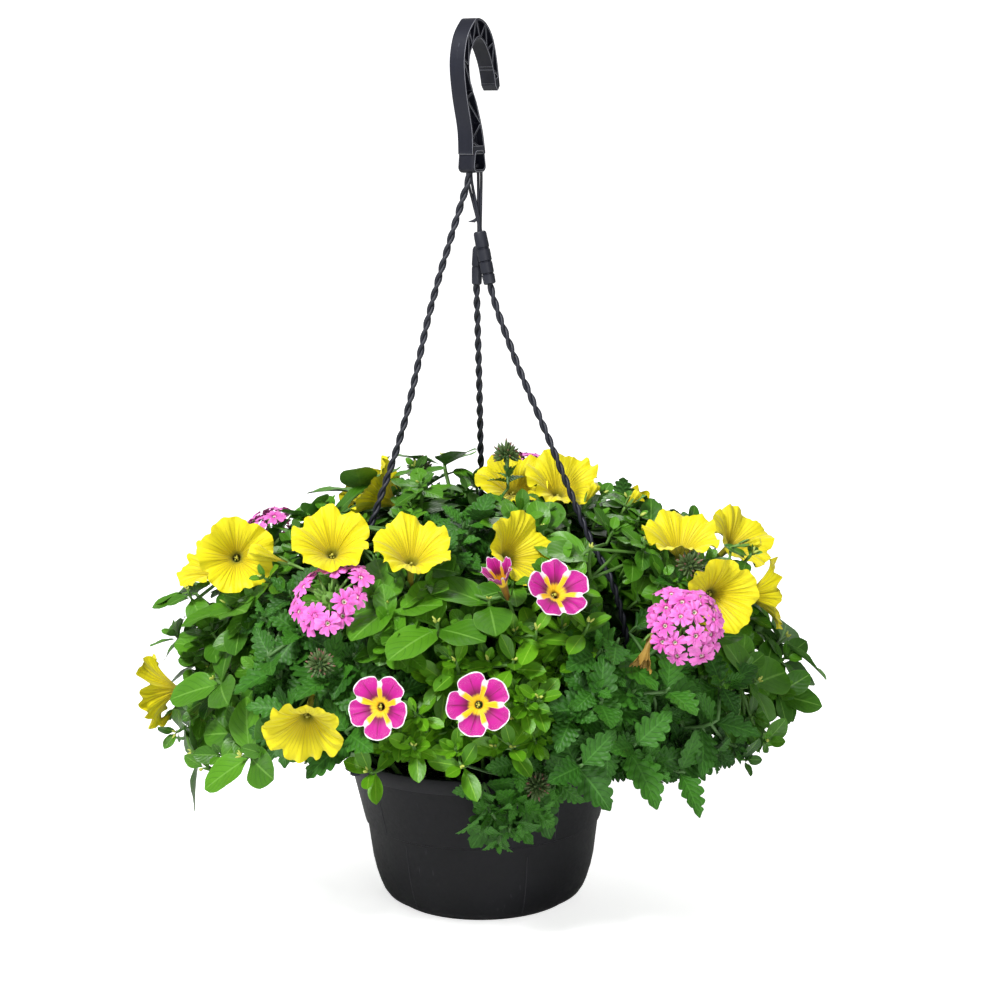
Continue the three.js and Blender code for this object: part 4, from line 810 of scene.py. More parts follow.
def leafTemplates(kind):
    # a few leaves of a kind at full size, with x across, y along and z up from the blade
    form = leafForms[kind]
    made = []
    rows, cols, half = form["rows"], form["cols"], form["width"] / 2
    for variant in range(bladeForm["variants"]):
        rng = np.random.default_rng(seed + variant)
        phase, tilt, curl = rng.uniform(0, 6.28), rng.uniform(-0.16, 0.16), rng.uniform(0.6, 1.35)
        broadness = rng.uniform(0.86, 1.04)
        points, uvs = [], []
        for r in range(rows + 1):
            v = r / rows
            broad = max(math.sin(math.pi * min(v, 0.999) ** form["widest"]), 0.0) ** form["blunt"] * broadness
            broad = max(broad * min(1, 0.25 + v * 3.2), 0.045)
            # rounded teeth, with the cut between two of them running in towards the midrib
            tooth = abs(math.sin(math.pi * v * form["teeth"])) ** 0.7 if form["teeth"] else 1
            for c in range(cols + 1):
                u = -1 + 2 * c / cols
                inward = abs(u) ** 4
                cutBy = 1 - form["cut"] * (1 - tooth) * inward if v < 0.97 else 1
                x = u * broad * half * cutBy
                toothed = form["teeth"] and v < 0.9
                y = v * form["length"]
                y += form["length"] * bladeForm["toothLength"] * tooth * inward if toothed else 0
                fold = form["fold"] * (math.sqrt(x * x + 2.2) - 1.48)
                beat = math.sin(phase + v * bladeForm["ripples"] + (1.5 if u > 0 else 0))
                ripple = form["wave"] * abs(u) ** 2 * beat * broad
                quilted = math.cos(2 * math.pi * (v - abs(u) ** 1.3 * bladeForm["veinSlant"]) * bladeForm["veins"])
                quilt = -form["quilt"] * quilted * min(abs(u) * 2, 1) * broad
                z = fold - form["droop"] * form["length"] * v * v * curl + ripple + quilt + tilt * x
                points.append((x, y, z))
                uvs.append((0.5 + u / 2, v))
        made.append((np.array(points), gridFaces(rows + 1, cols + 1), np.array(uvs)))
    return made


templates = {kind: leafTemplates(kind) for kind in leafForms}


def leafPoints(kind, variant, root, along, normal, size):
    points = templates[kind][variant][0]
    side = np.array(along.cross(normal).normalized())
    return np.array(root) + (points[:, :1] * side + points[:, 1:2] * np.array(along)
                             + points[:, 2:] * np.array(normal)) * size


def addLeaf(piece, kind, variant, root, along, normal, size, tint, slot=0):
    faces, uvs = templates[kind][variant][1:]
    piece.add(leafPoints(kind, variant, root, along, normal, size), faces, uvs, tint, slot)


grown = [growStem(i) for i in range(len(stems))]
worst = max(b["miss"] for branches in grown for b in branches)
print("stems read:", sum(len(b) for b in grown), "branches, worst miss %.3f mm," % worst,
      sum(len(b["leaves"]) for branches in grown for b in branches), "leaves")


calyxGreen = stemMaterial("calyxGreen", rgb(0.08, 0.2, 0.025), rgb(0.22, 0.42, 0.08))
budGreen = stemMaterial("budGreen", rgb(0.035, 0.08, 0.018), rgb(0.12, 0.19, 0.055))
paleBud = stemMaterial("paleBud", rgb(0.3, 0.42, 0.04), rgb(0.66, 0.68, 0.16))
budTip = stemMaterial("budTip", rgb(0.12, 0.05, 0.035), rgb(0.26, 0.13, 0.09))
antherYellow = stemMaterial("antherYellow", rgb(0.34, 0.34, 0.03), rgb(0.6, 0.55, 0.09))


def frameAlong(axis):
    # the turn that stands a flower made on +Z along its axis
    return np.array(up.rotation_difference(axis).to_matrix())


def stood(points, foot, turn):
    return np.asarray(points) @ turn.T + np.array(foot)


def addStood(piece, made, foot, turn, slot, tint=0.5, period=None):
    # a flower's part, made on +Z, put where the flower stands
    points, faces, uvs = made
    piece.add(stood(points, foot, turn), faces, uvs, tint, slot, period)


def blob(centre, radius, height, sides=10, rows=6, pinch=0.0):
    # a small closed egg on +Z, from its foot
    points, uvs = [], []
    for r in range(rows + 1):
        a = math.pi * r / rows
        w = radius * max(math.sin(a), 0.02) * (1 - pinch * r / rows)
        for k in range(sides):
            b = 2 * math.pi * k / sides
            points.append((centre[0] + w * math.cos(b), centre[1] + w * math.sin(b),
                           centre[2] + height * (1 - math.cos(a)) / 2))
            uvs.append((k / sides, r / rows))
    return points, gridFaces(rows + 1, sides, True), uvs


def trumpetEdge(form, random):
    throat = form["radius"] * 0.26
    rise = math.tan(math.radians(form["cup"]))
    edge = []
    for i in range(trumpetForm["edgeStops"]):
        notched = i % 3 == 0
        r = form["radius"] * (0.8 if notched else 0.96 + random() * 0.06)
        sag = 0 if notched else form["wave"] * 0.5
        z = form["tube"] + (r - throat) * rise + (random() - 0.5) * 2 * form["wave"] - sag
        edge.append((r, z))
    return edge


def roundSpline(values, at):
    # a smooth way through values that are spaced evenly round a circle
    n = len(values)
    i = int(math.floor(at)) % n
    t = at - math.floor(at)
    a, b, c, d = (values[(i + k) % n] for k in (-1, 0, 1, 2))
    return 0.5 * (2 * b + (c - a) * t + (2 * a - 5 * b + 4 * c - d) * t * t + (3 * b - a - 3 * c + d) * t ** 3)


trumpetForm = {
    "columns": 150, "tubeRows": 5, "limbRows": 14, "edgeStops": 15, "foot": 2.3, "rim": 0.93,
    "petunia": {"notch": 0.09, "notchWidth": 0.09, "ruffle": 0.036, "ruffles": 13, "dip": 1.0, "swell": 0.03,
                "ridge": 0.6, "crease": 0.42, "lip": 2.3, "lipWaves": 11, "throat": 0.11, "bell": 0.36},
    "striped": {"notch": 0.16, "notchWidth": 0.13, "ruffle": 0.02, "ruffles": 9, "dip": 0.6, "swell": 0.02,
                "ridge": 0.3, "crease": 0.12, "lip": 0.7, "lipWaves": 7, "throat": 0.12, "bell": 0.26},
    "wilted": {"notch": 0.12, "notchWidth": 0.2, "ruffle": 0.1, "ruffles": 7, "dip": 0.8, "swell": 0.0,
               "ridge": 0.8, "crease": 0.3, "lip": 0.8, "lipWaves": 9, "throat": 0.26, "bell": 0.1},
}


def trumpet(form, look, random, rng):
    columns, tubeRows, limbRows = (trumpetForm[k] for k in ("columns", "tubeRows", "limbRows"))
    edge = trumpetEdge(form, random)
    radius, depth = form["radius"], form["tube"]
    throat, bell = radius * look["throat"], depth - radius * look["bell"]
    phases = rng.uniform(0, 2 * math.pi, 8)
    lobeTilt = rng.uniform(-1, 1, 5)
    rims = [(r if i % 3 else radius * trumpetForm["rim"]) for i, (r, z) in enumerate(edge)]
    heights = [z for r, z in edge]
    points, uvs, reach = [], [], []
    for c in range(columns):
        a = c / columns
        theta = 2 * math.pi * a
        near = abs((a * 5 + 0.5) % 1 - 0.5) / 5 * 2 * math.pi      # way round to the nearest notch
        r = roundSpline(rims, a * len(edge)) - radius * look["notch"] * math.exp(-(near / look["notchWidth"]) ** 2)
        scallop = math.sin(look["ruffles"] * theta + phases[0] + 1.5 * math.sin(theta * 3 + phases[1]))
        r -= radius * look["ruffle"] * (0.5 + 0.5 * scallop)
        z = roundSpline(heights, a * len(edge))
        z += form["wave"] * 0.45 * math.sin(theta * 13 + phases[2] + 2 * math.sin(theta * 2 + phases[3]))
        lobe = lobeTilt[int(a * 5) % 5] * math.sin(math.pi * (a * 5 % 1)) ** 2
        reach.append((theta, near, r, z + lobe * form["wave"] * 0.6))
    for row in range(tubeRows):
        t = row / tubeRows
        w = trumpetForm["foot"] + (throat - trumpetForm["foot"]) * t ** 1.6
        for theta, near, r, z in reach:
            points.append((w * math.cos(theta), w * math.sin(theta), bell * t))
            uvs.append((5 * theta / (2 * math.pi), 0.3 * t))
    for row in range(limbRows + 1):
        t = row / limbRows
        for theta, near, r, z in reach:
            w = throat + (r - throat) * t
            middle = abs((5 * theta / (2 * math.pi)) % 1 - 0.5)
            h = bell + (z - bell) * (0.4 * t + 0.6 * (1 - (1 - t) ** 1.8))
            h += look["swell"] * radius * math.sin(math.pi * t)
            # the seams sink and the ribs stand
            h -= look["dip"] * math.exp(-(near / 0.1) ** 2) * math.sin(math.pi * min(t * 1.1, 1)) * 1.6
            h += look["ridge"] * math.exp(-(middle / 0.05) ** 2) * math.sin(math.pi * t)
            h += look["crease"] * t * math.sin(37 * theta + phases[4] + 2.2 * math.sin(3 * theta + phases[5]))
            lip = math.sin(look["lipWaves"] * theta + phases[6] + 2.5 * math.sin(2 * theta + phases[7]))
            h += look["lip"] * t ** 4 * (lip - 0.5)
            points.append((w * math.cos(theta), w * math.sin(theta), h))
            uvs.append((5 * theta / (2 * math.pi), 0.3 + 0.7 * t))
    return points, gridFaces(tubeRows + limbRows + 1, columns, True), uvs


sepalForm = {"count": 5, "ring": 2.9, "sunk": 0.4, "tint": 0.55}


def addSepals(piece, foot, axis, size, lean):
    first = squared(Vector((0.3, 0.2, 0.93)), axis)
    second = axis.cross(first)
    e = math.radians(lean)
    for k in range(sepalForm["count"]):
        a = 2 * math.pi * (k + 0.5) / sepalForm["count"]
        radial = first * math.cos(a) + second * math.sin(a)
        along = axis * math.cos(e) + radial * math.sin(e)
        normal = axis * math.sin(e) - radial * math.cos(e)
        root = foot + radial * (sepalForm["ring"] * size) - axis * sepalForm["sunk"]
        addLeaf(piece, "sepal", k, root, along, normal, size, sepalForm["tint"], 1)


# one stigma with stamens close round it
stamenForm = {"petunia": 5, "striped": 4, "turn": 1.257, "start": 0.4, "ring": 1.7, "size": 0.8, "stigma": 1.25,
              "sunk": 3, "stands": 1.5}
flowerIndex = 0
for blooms, base, look, material in ((petuniaBlooms, petuniaForm, "petunia", yellowPetal),
                                     (stripedBlooms, stripedForm, "striped", stripedPetal)):
    for name in blooms:
        flowerIndex += 1
        random = seededRandom(seed + flowerIndex)
        wilted = name == "striped_bloom_05"
        form = wiltedForm if wilted else {**base, "cup": base["cup"] + (random() - 0.5) * 16}
        rng = np.random.default_rng(seed + flowerIndex)
        foot, axis = feet[name]
        turn = frameAlong(axis)
        piece = Piece(name.replace("bloom", "flower"), [material, antherYellow])
        made = trumpet(form, trumpetForm["wilted" if wilted else look], random, rng)
        addStood(piece, made, foot, turn, 0, period=5.0)
        mouth = form["tube"] - form["radius"] * trumpetForm[look]["bell"] + 1
        for k in range(stamenForm[look]):
            a = k * stamenForm["turn"] + stamenForm["start"]
            r, size, stands = 0, stamenForm["stigma"], stamenForm["stands"]
            if k:
                r, size, stands = stamenForm["ring"], stamenForm["size"], 0
            centre = (r * math.cos(a), r * math.sin(a), mouth - stamenForm["sunk"] + stands)
            addStood(piece, blob(centre, size, size * 2, 8, 5), foot, turn, 1)
        piece.build([name])

floretForm = {"radius": 10, "columns": 60, "rows": 7, "cleft": 0.62, "tipCut": 0.14, "wave": 0.6}


def floretTemplates(count):
    made = []
    for variant in range(count):
        rng = np.random.default_rng(seed + 50 + variant)
        phase, tilt, long = rng.uniform(0, 6.28, 3), rng.uniform(-1.8, 1.4, 5), rng.uniform(0.84, 1.06, 5)
        points, uvs = [], []
        columns, rows = floretForm["columns"], floretForm["rows"]
        for row in range(rows + 1):
            t = row / rows
            for c in range(columns):
                a = c / columns
                middle = abs((a * 5) % 1 - 0.5) * 2           # 0 on a lobe's middle line, 1 between two lobes
                lobe = int(a * 5) % 5
                # heart-shaped lobes that part low down
                shape = 1 - floretForm["cleft"] * (max(0, middle - 0.64) / 0.36) ** 1.25
                shape -= floretForm["tipCut"] * math.exp(-(middle / 0.15) ** 2)
                shape *= 1 + (long[lobe] - 1) * (1 - middle)
                r = floretForm["radius"] * (0.1 + t * (shape - 0.1)) if t else 0.8
                z = 0.9 * math.sin(math.pi * min(t * 1.2, 1)) - 0.6 * t * t
                ripple = floretForm["wave"] * t * math.sin(10 * a * 6.28 + phase[1])
                z += ripple + tilt[lobe] * t * (1 - middle ** 2)
                z += 0.6 * t * (middle ** 2)
                z -= 1.4 * max(0, 0.25 - t) / 0.25
                points.append((r * math.cos(2 * math.pi * a), r * math.sin(2 * math.pi * a), z))
                uvs.append((5 * a, t))
        made.append((np.array(points), gridFaces(rows + 1, columns, True), np.array(uvs)))
    return made


floretKinds = floretTemplates(6)
backDome = {"rows": [(1, 0, 1.0), (5, 32, 1.0), (8, 58, 1.0), (8, 84, 0.98)], "facing": 0.45, "flat": 0.86,
            "middleBuds": 0}
headForm = {
    # florets as (count, lean from the head's axis, how far out), how much they face its axis, buds in the middle
    "verbena_head_01": {"rows": [(11, 76, 1.02), (4, 54, 0.92)], "facing": 1.0, "flat": 0.9, "middleBuds": 18,
                        "raised": 0.75},
    "verbena_head_02": {"rows": [(1, 0, 1.0), (5, 29, 1.0), (9, 54, 1.0), (11, 80, 0.98)], "facing": 0.45,
                        "flat": 0.86, "middleBuds": 0},
    "verbena_head_03": backDome, "verbena_head_04": backDome,
}
headPieces = {}
for name, plan in headForm.items():
    foot, axis = feet[name]
    turn = frameAlong((axis + up * plan.get("raised", 0)).normalized())
    rng = np.random.default_rng(seed + 300 + len(headPieces))
    piece = Piece(name.replace("head", "cluster"), [pinkPetal, calyxGreen])
    hub = np.array((0, 0, headRadius * 0.42))
    number = 0
    for count, lean, out in plan["rows"]:
        for i in range(count):
            number += 1
            azimuth = (i + rng.uniform(-0.18, 0.18) + lean / 90) / count * 360
            tilt = lean + rng.uniform(-7, 7) * (lean > 0)
            way = direction(azimuth, 90 - tilt)
            reach = headRadius * (0.92 * out + rng.uniform(-0.13, 0.08))
            floretAxis = (way + Vector((0, 0, plan["facing"])) + Vector(rng.uniform(-0.3, 0.3, 3))).normalized()
            local = frameAlong(floretAxis) @ np.array(((math.cos(number), -math.sin(number), 0),
                                                       (math.sin(number), math.cos(number), 0), (0, 0, 1)))
            size = rng.uniform(0.92, 1.14)
            centre = hub + np.array(way) * (reach, reach, reach * plan["flat"])
            p, f, u = floretKinds[number % len(floretKinds)]
            tint = rng.uniform(0.25, 0.95)
            addStood(piece, ((p * size) @ local.T + centre, f, u), foot, turn, 0, tint, 5.0)
            start = hub + np.array(way) * headRadius * 0.12
            path = [start, start + (centre - start) * 0.5, centre - np.array(floretAxis) * 1.2]
            addStood(piece, tube(path, [1.3, 1.1, 0.7], 7), foot, turn, 1)
    for i in range(plan["middleBuds"]):
        a, r = i * 2.4, 2.4 * math.sqrt(i)
        way = Vector((r * math.cos(a) * 0.045, r * math.sin(a) * 0.045, 1)).normalized()
        p, f, u = blob((0, 0, 0), 1.5, 11 - 0.25 * i, 8, 6, 0.2)
        place = np.array((r * math.cos(a), r * math.sin(a), headRadius * 0.45))
        addStood(piece, (np.asarray(p) @ frameAlong(way).T + place, f, u), foot, turn, 1)
    core = [(6.5 * math.sin(a), headRadius * 0.42 - 9 + 9 * (1 - math.cos(a))) for a in np.linspace(0.05, 3.09, 8)]
    addStood(piece, lathe(core, 16), foot, turn, 1)
    headPieces[name] = piece.build([name])
print("verbena heads made:", len(headPieces))

blockers = []
keptClear = [*petuniaBlooms, *stripedBlooms, *verbenaHeads, "strand_left", "strand_right", "strand_back",
             "strand_clip", "hook"]
for name in keptClear:
    polygons = [tuple(p.vertices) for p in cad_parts[name].data.polygons]
    blockers.append(BVHTree.FromPolygons(nodePoints(name).tolist(), polygons))
boxLow, boxHigh = (np.array(c) * 1000 + (0, 0, saddleHeight) for c in cadBox)
clearForm = {
    # the front strands hang outside the leaves, so nothing grows before them down to these heights
    "eye": (18, -1950, 691), "strands": {"strand_left": 290, "strand_right": 232}, "strandGap": 8.5, "leafGap": 5,
    # turns and sizes that a leaf before a strand tries
    "aside": [(0, 1), (25, 1), (-25, 1), (50, 0.92), (-50, 0.92), (80, 0.85), (-80, 0.85), (0, 0.55)],
    # the pot's front shows below a line of sight, which is steeper right of a place
    "lowest": 128, "slope": 0.297, "steepFrom": 70, "steepSlope": 0.309,
    "overBox": 8, "rimInside": 103, "rimOutside": 119, "overRim": 136, "overSoil": 116,
}
eyePoint = np.array(clearForm["eye"])
sightLines = []
for name, lowest in clearForm["strands"].items():
    corners, line = nodePoints(name), []
    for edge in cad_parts[name].data.edges:
        a, b = (corners[i] for i in edge.vertices)
        line += [a + (b - a) * t for t in np.linspace(0, 1, max(int(np.linalg.norm(b - a) / 3), 2))]
    # the strand's middle, slice by slice
    line = np.array([p for p in line if p[2] > lowest])
    level = (line[:, 2] // 6).astype(int)
    ways = np.array([line[level == i].mean(axis=0) for i in np.unique(level)]) - eyePoint
    reach = np.linalg.norm(ways, axis=1)
    sightLines.append((ways / reach[:, None], reach))


def hidesStrand(points, gap):
    toward = np.asarray(points) - eyePoint
    for sight, reach in sightLines:
        along = toward @ sight.T
        off = np.linalg.norm(toward[:, None, :] - along[:, :, None] * sight[None], axis=2)
        if ((off < gap) & (along < reach[None] + 2)).any():
            return True
    return False


def turnedAside(kind, root, along, normal, size):
    # a leaf that would hide a strand turns aside or stays small
    for turn, share in clearForm["aside"]:
        way = (Matrix.Rotation(math.radians(turn), 3, normal) @ along).normalized()
        if not hidesStrand(leafPoints(kind, 0, root, way, normal, size * share), clearForm["leafGap"]):
            return way, size * share
    return None, 0


def isFree(points, gap, hanging=False):
    # clear of flowers, strands and the pot, and inside the basket's own size
    points = np.asarray(points)
    if not hanging:
        steep = np.where(points[:, 0] > clearForm["steepFrom"], clearForm["steepSlope"], clearForm["slope"])
        sight = eyePoint[2] - steep * (points[:, 1] - eyePoint[1])
        if (points[:, 2] < np.maximum(clearForm["lowest"], sight)).any():
            return False
        if hidesStrand(points, clearForm["strandGap"]):
            return False
    if (points < boxLow - clearForm["overBox"]).any() or (points > boxHigh + clearForm["overBox"]).any():
        return False
    level = np.hypot(points[:, 0], points[:, 1])
    overRim = (level < clearForm["rimOutside"]) & (level > clearForm["rimInside"])
    if (overRim & (points[:, 2] < clearForm["overRim"])).any():
        return False
    if ((level <= clearForm["rimInside"]) & (points[:, 2] < clearForm["overSoil"])).any():
        return False
    for p in points:
        if any(tree.find_nearest(p, gap)[0] is not None for tree in blockers):
            return False
    return True


kindLook = {
    "petunia": {"leaf": petuniaLeaf, "stem": greenStem, "slot": "petunia_leaf"},
    "verbena": {"leaf": verbenaLeaf, "stem": verbenaStem, "slot": "verbena_leaf"},
    "calibrachoa": {"leaf": calibrachoaLeaf, "stem": greenStem, "slot": "calibrachoa_leaf"},
}
shootForm = {"sunk": 12, "over": 1, "mainSteps": 7, "steps": 14, "thinTip": 0.6, "seat": 2.9, "sides": 8}
stemPieces = []
centreline, centreOwner = [], []
for stemIndex, branches in enumerate(grown):
    name, kind = stems[stemIndex][:2]
    look = kindLook[kind]
    piece = Piece(name.replace("stem", "shoots"), [look["leaf"], look["stem"], budGreen, paleBud, budTip])
    stemPieces.append(piece)
    rng = np.random.default_rng(seed + 700 + stemIndex)
    for branch in branches:
        main, curve, flower = branch["main"], branch["curve"], branch["flower"]
        trumpetShaped = flower and not flower.startswith("verbena")
        radius = growth["branchRadius"][kind]
        fork = growth["fork"] - growth["forkStep"] * branch["order"]
        path, radii, start = [], [], radius
        if branch["order"] == 0:
            root = main["root"]
            heights = (growth["soilHeight"] - shootForm["sunk"], growth["soilHeight"] + shootForm["over"])
            path += [Vector((root.x, root.y, z)) for z in heights]
            path += [main["pathAt"](t) for t in np.linspace(0.03, fork * 0.97, shootForm["mainSteps"])]
            radii += [growth["stemRadius"][kind]] * len(path)
            start = growth["stemRadius"][kind] * 0.9
        path += [curve.place(u) for u in np.linspace(0, 1, shootForm["steps"])]
        radii += list(np.linspace(start, radius, shootForm["steps"]))
        if flower:
            path.append(branch["foot"] - branch["axis"] * 0.4)
            radii.append(shootForm["seat"] if trumpetShaped else radius)
        else:
            radii[-1] *= shootForm["thinTip"]
        piece.add(*tube(path, radii, shootForm["sides"]), 0.5, 1)
        for u in np.linspace(0.1, 1, 12):
            centreline.append(curve.place(u))
            centreOwner.append(stemIndex)
        for leafRoot, along, normal, size, young in branch["leaves"]:
            tint, variant = rng.uniform(0.2, 0.85), int(rng.integers(bladeForm["variants"]))
            form = kind + "_young" if young else kind
            along, size = turnedAside(form, leafRoot, along, normal, size)
            if along:
                addLeaf(piece, form, variant, leafRoot, along, normal, size, tint)
        if trumpetShaped:
            size = 1 if flower.startswith("petunia") else 0.75
            addSepals(piece, branch["foot"] - branch["axis"] * 0.8, branch["axis"], size, 26)
print("shoots started:", len(stemPieces))

goldenTurn = 2.39996
fillForm = {
    "sites": 720, "inner": 330, "lowest": -24, "highest": 80, "gap": 2.6, "siteGap": 4, "farthest": 110,
    # how deep a rosette sits under the mound, and how often
    "depths": [-6, -20, -38, -62], "depthShares": [0.34, 0.3, 0.22, 0.14], "innerDepths": (-105, -50),
    "neck": 13, "budShare": 0.16,
    # shoots that stand up out of the top and sides as (azimuth, elevation, out, kind, scale, facing, bud head)
    "risen": [(-69, 75, 24, "petunia", 0.62, None, False), (-40, 70, 20, "petunia", 0.55, None, False),
              (60, 82, 16, "verbena", 0.6, None, True), (56, 34, 6, "verbena", 0.55, (30, 50), True),
              (73, 60, 10, "petunia", 0.6, None, False), (80, 55, 8, "petunia", 0.55, None, False),
              (55, 44, 8, "petunia", 0.6, None, False), (66, 50, 8, "petunia", 0.55, None, False),
              (85, 30, 22, "petunia", 0.5, (40, 40), False), (80, 42, 16, "petunia", 0.55, (35, 45), False),
              (-83, 24, 22, "petunia", 0.75, (-40, 30), False), (-90, 14, 18, "petunia", 0.8, (-45, 20), False),
              (-84, -3, 12, "petunia", 1.05, (-35, -10), False), (-74, -8, 4, "petunia", 1.0, (-30, -12), False),
              (-93, -7, 8, "petunia", 1.0, (-45, -10), False), (-88, 5, 8, "verbena", 0.95, (-40, 5), False),
              (-72, 3, 6, "verbena", 0.95, (-35, 0), False), (-60, 34, 8, "petunia", 0.6, None, False),
              (81, 4, 8, "petunia", 0.9, (38, 0), False), (87, 9, 12, "petunia", 0.85, (45, 10), False),
              (74, -4, 4, "petunia", 0.85, (30, -10), False)],
    # and those that hang before the pot
    "hung": [(11, -2, -36, 0.6), (20, -9, -36, 0.7), (10, -13, -28, 0.7), (4, -17, -18, 0.75), (8, -21, -8, 0.75),
             (5, -26, 4, 0.62), (17, -16, -22, 0.62), (0, -10, -30, 0.6)],
    # leaves of a rosette as (count, size, lean), from the outside in
    "petunia": [(3, 0.86, 12), (3, 0.62, 34), (3, 0.34, 58)],
    "verbena": [(2, 0.86, 8), (2, 0.74, 24), (2, 0.46, 46), (2, 0.26, 64)],
    "calibrachoa": [(4, 0.95, 4), (4, 0.9, 26), (4, 0.66, 48), (3, 0.4, 66)],
}


def rosette(piece, kind, at, axis, rng, scale, hanging=False):
    # leaves round a shoot, each kept only where it is free
    first = squared(Vector((0.21, 0.13, 0.97)), axis)
    second = axis.cross(first)
    start = rng.uniform(0, 6.28)
    form = leafForms[kind]
    kept = 0
    for ring, (count, size, lean) in enumerate(fillForm[kind]):
        ringTurn = ring * (1.571 if kind == "verbena" else 1.05)
        blade = kind + "_young" if kind == "verbena" and size < 0.5 else kind
        for k in range(count):
            a = start + 2 * math.pi * k / count + ringTurn + rng.uniform(-0.25, 0.25)
            radial = first * math.cos(a) + second * math.sin(a)
            e = math.radians(lean + rng.uniform(-14, 14))
            along = radial * math.cos(e) + axis * math.sin(e)
            along = (along + Vector((0, 0, -0.12 * size))).normalized()
            normal = squared(axis * math.cos(e) - radial * math.sin(e) + up * 0.25 + outwardAt(at) * 0.3, along)
            grownSize = size * scale * rng.uniform(0.85, 1.12)
            variant = int(rng.integers(bladeForm["variants"]))
            # leaves low on the basket are darker: partly age, partly painted shade under the mound
            agedAndShaded = 0 if hanging or kind == "calibrachoa" else min(0, (at.z - 240) / 320)
            # hanging leaves are painted lighter, a painted light on the sprigs that hang in shade before the pot
            tint = rng.uniform(0.15, 0.8) + (0.2 if size < 0.5 else 0) + (0.3 if hanging else 0) + agedAndShaded
            tint = min(1, max(0, tint))
            leafRoot = at + radial * 1.5 - axis * (4.0 * (len(fillForm[kind]) - 1 - ring))
            length = form["length"] * grownSize
            side = normal.cross(along)
            probes = [leafRoot + along * (length * t) + side * (form["width"] * grownSize * 0.42 * w)
                      - normal * (form["droop"] * length * t * t) for t in (0.3, 0.62, 1.0) for w in (-1, 0, 1)]
            if isFree([tuple(p) for p in probes], fillForm["gap"], hanging):
                addLeaf(piece, blade, variant, leafRoot, along, normal, grownSize, tint)
                kept += 1
    return kept


lines = KDTree(len(centreline))
for i, p in enumerate(centreline):
    lines.insert(p, i)
lines.balance()
tips = [(b["foot"], i) for i, branches in enumerate(grown) for b in branches if not b["flower"]]


def growRosette(at, rng, scale, kind=None, hanging=False, facing=None):
    # a side shoot from the nearest branch, with a rosette on its tip
    near = [t for t in tips if kind is None or stems[t[1]][1] == kind]
    owner = min(near, key=lambda t: (t[0] - at).length)[1]
    found, index, gap = min(((p, j, g) for p, j, g in lines.find_n(at, 60) if centreOwner[j] == owner),
                            key=lambda t: t[2], default=(None, None, 999))
    if found is None and kind is None:
        found, index, gap = lines.find(at)
        owner = centreOwner[index]
    if found is None or gap > fillForm["farthest"]:
        return 0, None, None
    kind = stems[owner][1]
    turned = Vector((0, math.copysign(0.55 * abs(at.x) / mound["side"], at.y), 0))
    axis = outwardAt(at) * 0.8 + turned if facing is None else direction(*facing)
    axis = (axis + up * 0.35 + Vector(rng.uniform(-0.35, 0.35, 3))).normalized()
    piece = stemPieces[owner]
    kept = rosette(piece, kind, at, axis, rng, scale, hanging)
    if kept:
        middle = (found + at) * 0.5 - up * 0.04 * gap - axis * 0.1 * gap
        neck = at - axis * fillForm["neck"]
        path = [found, found.lerp(middle, 0.6), middle.lerp(neck, 0.6), neck, at - axis * 3, at + axis]
        piece.add(*tube(path, [growth["branchRadius"][kind] * 0.85] * 5 + [0.6], 6), 0.5, 1)
    return kept, piece, axis


def addBud(piece, at, axis, radius, length, slot):
    # a closed bud with a pointed tip
    addStood(piece, blob((0, 0, 0), radius, length, 8, 6, 0.45), at, frameAlong(axis), slot)


def addPaleBuds(piece, at, axis, rng, count):
    for _ in range(count):
        side = Vector(rng.uniform(-1, 1, 3))
        way = (axis * 1.2 + squared(side, axis) * 0.8).normalized()
        addBud(piece, at + way, way, rng.uniform(0.9, 1.5), rng.uniform(3.5, 6), 3)


rng = np.random.default_rng(seed + 9000)
keptLeaves = 0
low, high = (math.sin(math.radians(fillForm[k])) for k in ("lowest", "highest"))
for i in range(fillForm["sites"]):
    height = low + (high - low) * (i + 0.5) / fillForm["sites"]
    azimuth = math.degrees(i * goldenTurn) % 360 + rng.uniform(-4, 4)
    elevation = math.degrees(math.asin(height)) + rng.uniform(-3, 3)
    depth = rng.choice(fillForm["depths"], p=fillForm["depthShares"])
    at = moundPoint(azimuth, elevation, depth + rng.uniform(-5, 5))
    if not isFree([tuple(at)], fillForm["siteGap"]):
        continue
    kept, piece, axis = growRosette(at, rng, rng.uniform(0.6, 1.0))
    keptLeaves += kept
    if kept > 6 and rng.uniform() < fillForm["budShare"] and piece.name[0] != "v":
        addPaleBuds(piece, at, axis, rng, 2)
print("filler leaves:", keptLeaves)
for i in range(fillForm["inner"]):
    # darker growth further in, so that nothing shows through
    height = low + (high - low) * (i + 0.5) / fillForm["inner"]
    azimuth = math.degrees(i * goldenTurn + 1.1) % 360
    at = moundPoint(azimuth, math.degrees(math.asin(height)), rng.uniform(*fillForm["innerDepths"]))
    if isFree([tuple(at)], fillForm["siteGap"]):
        keptLeaves += growRosette(at, rng, rng.uniform(0.85, 1.05))[0]
print("with inner leaves:", keptLeaves)
budSpots = []
for azimuth, elevation, out, kind, scale, facing, headed in fillForm["risen"]:
    at = moundPoint(azimuth, elevation, out)
    kept, piece, axis = growRosette(at, rng, scale, kind, False, facing)
    if kept and kind == "petunia":
        addPaleBuds(piece, at, axis, rng, 2)
    if kept and headed:
        budSpots.append((piece, at, axis))
for azimuth, elevation, out, scale in fillForm["hung"]:
    growRosette(moundPoint(azimuth, elevation, out), rng, scale, "verbena", True)


budHeadForm = {"stalk": 13, "count": 60, "spread": 1.35, "dome": 4.5, "length": (7.5, 11), "width": (1.2, 1.7),
               "tipWidth": 1.05}


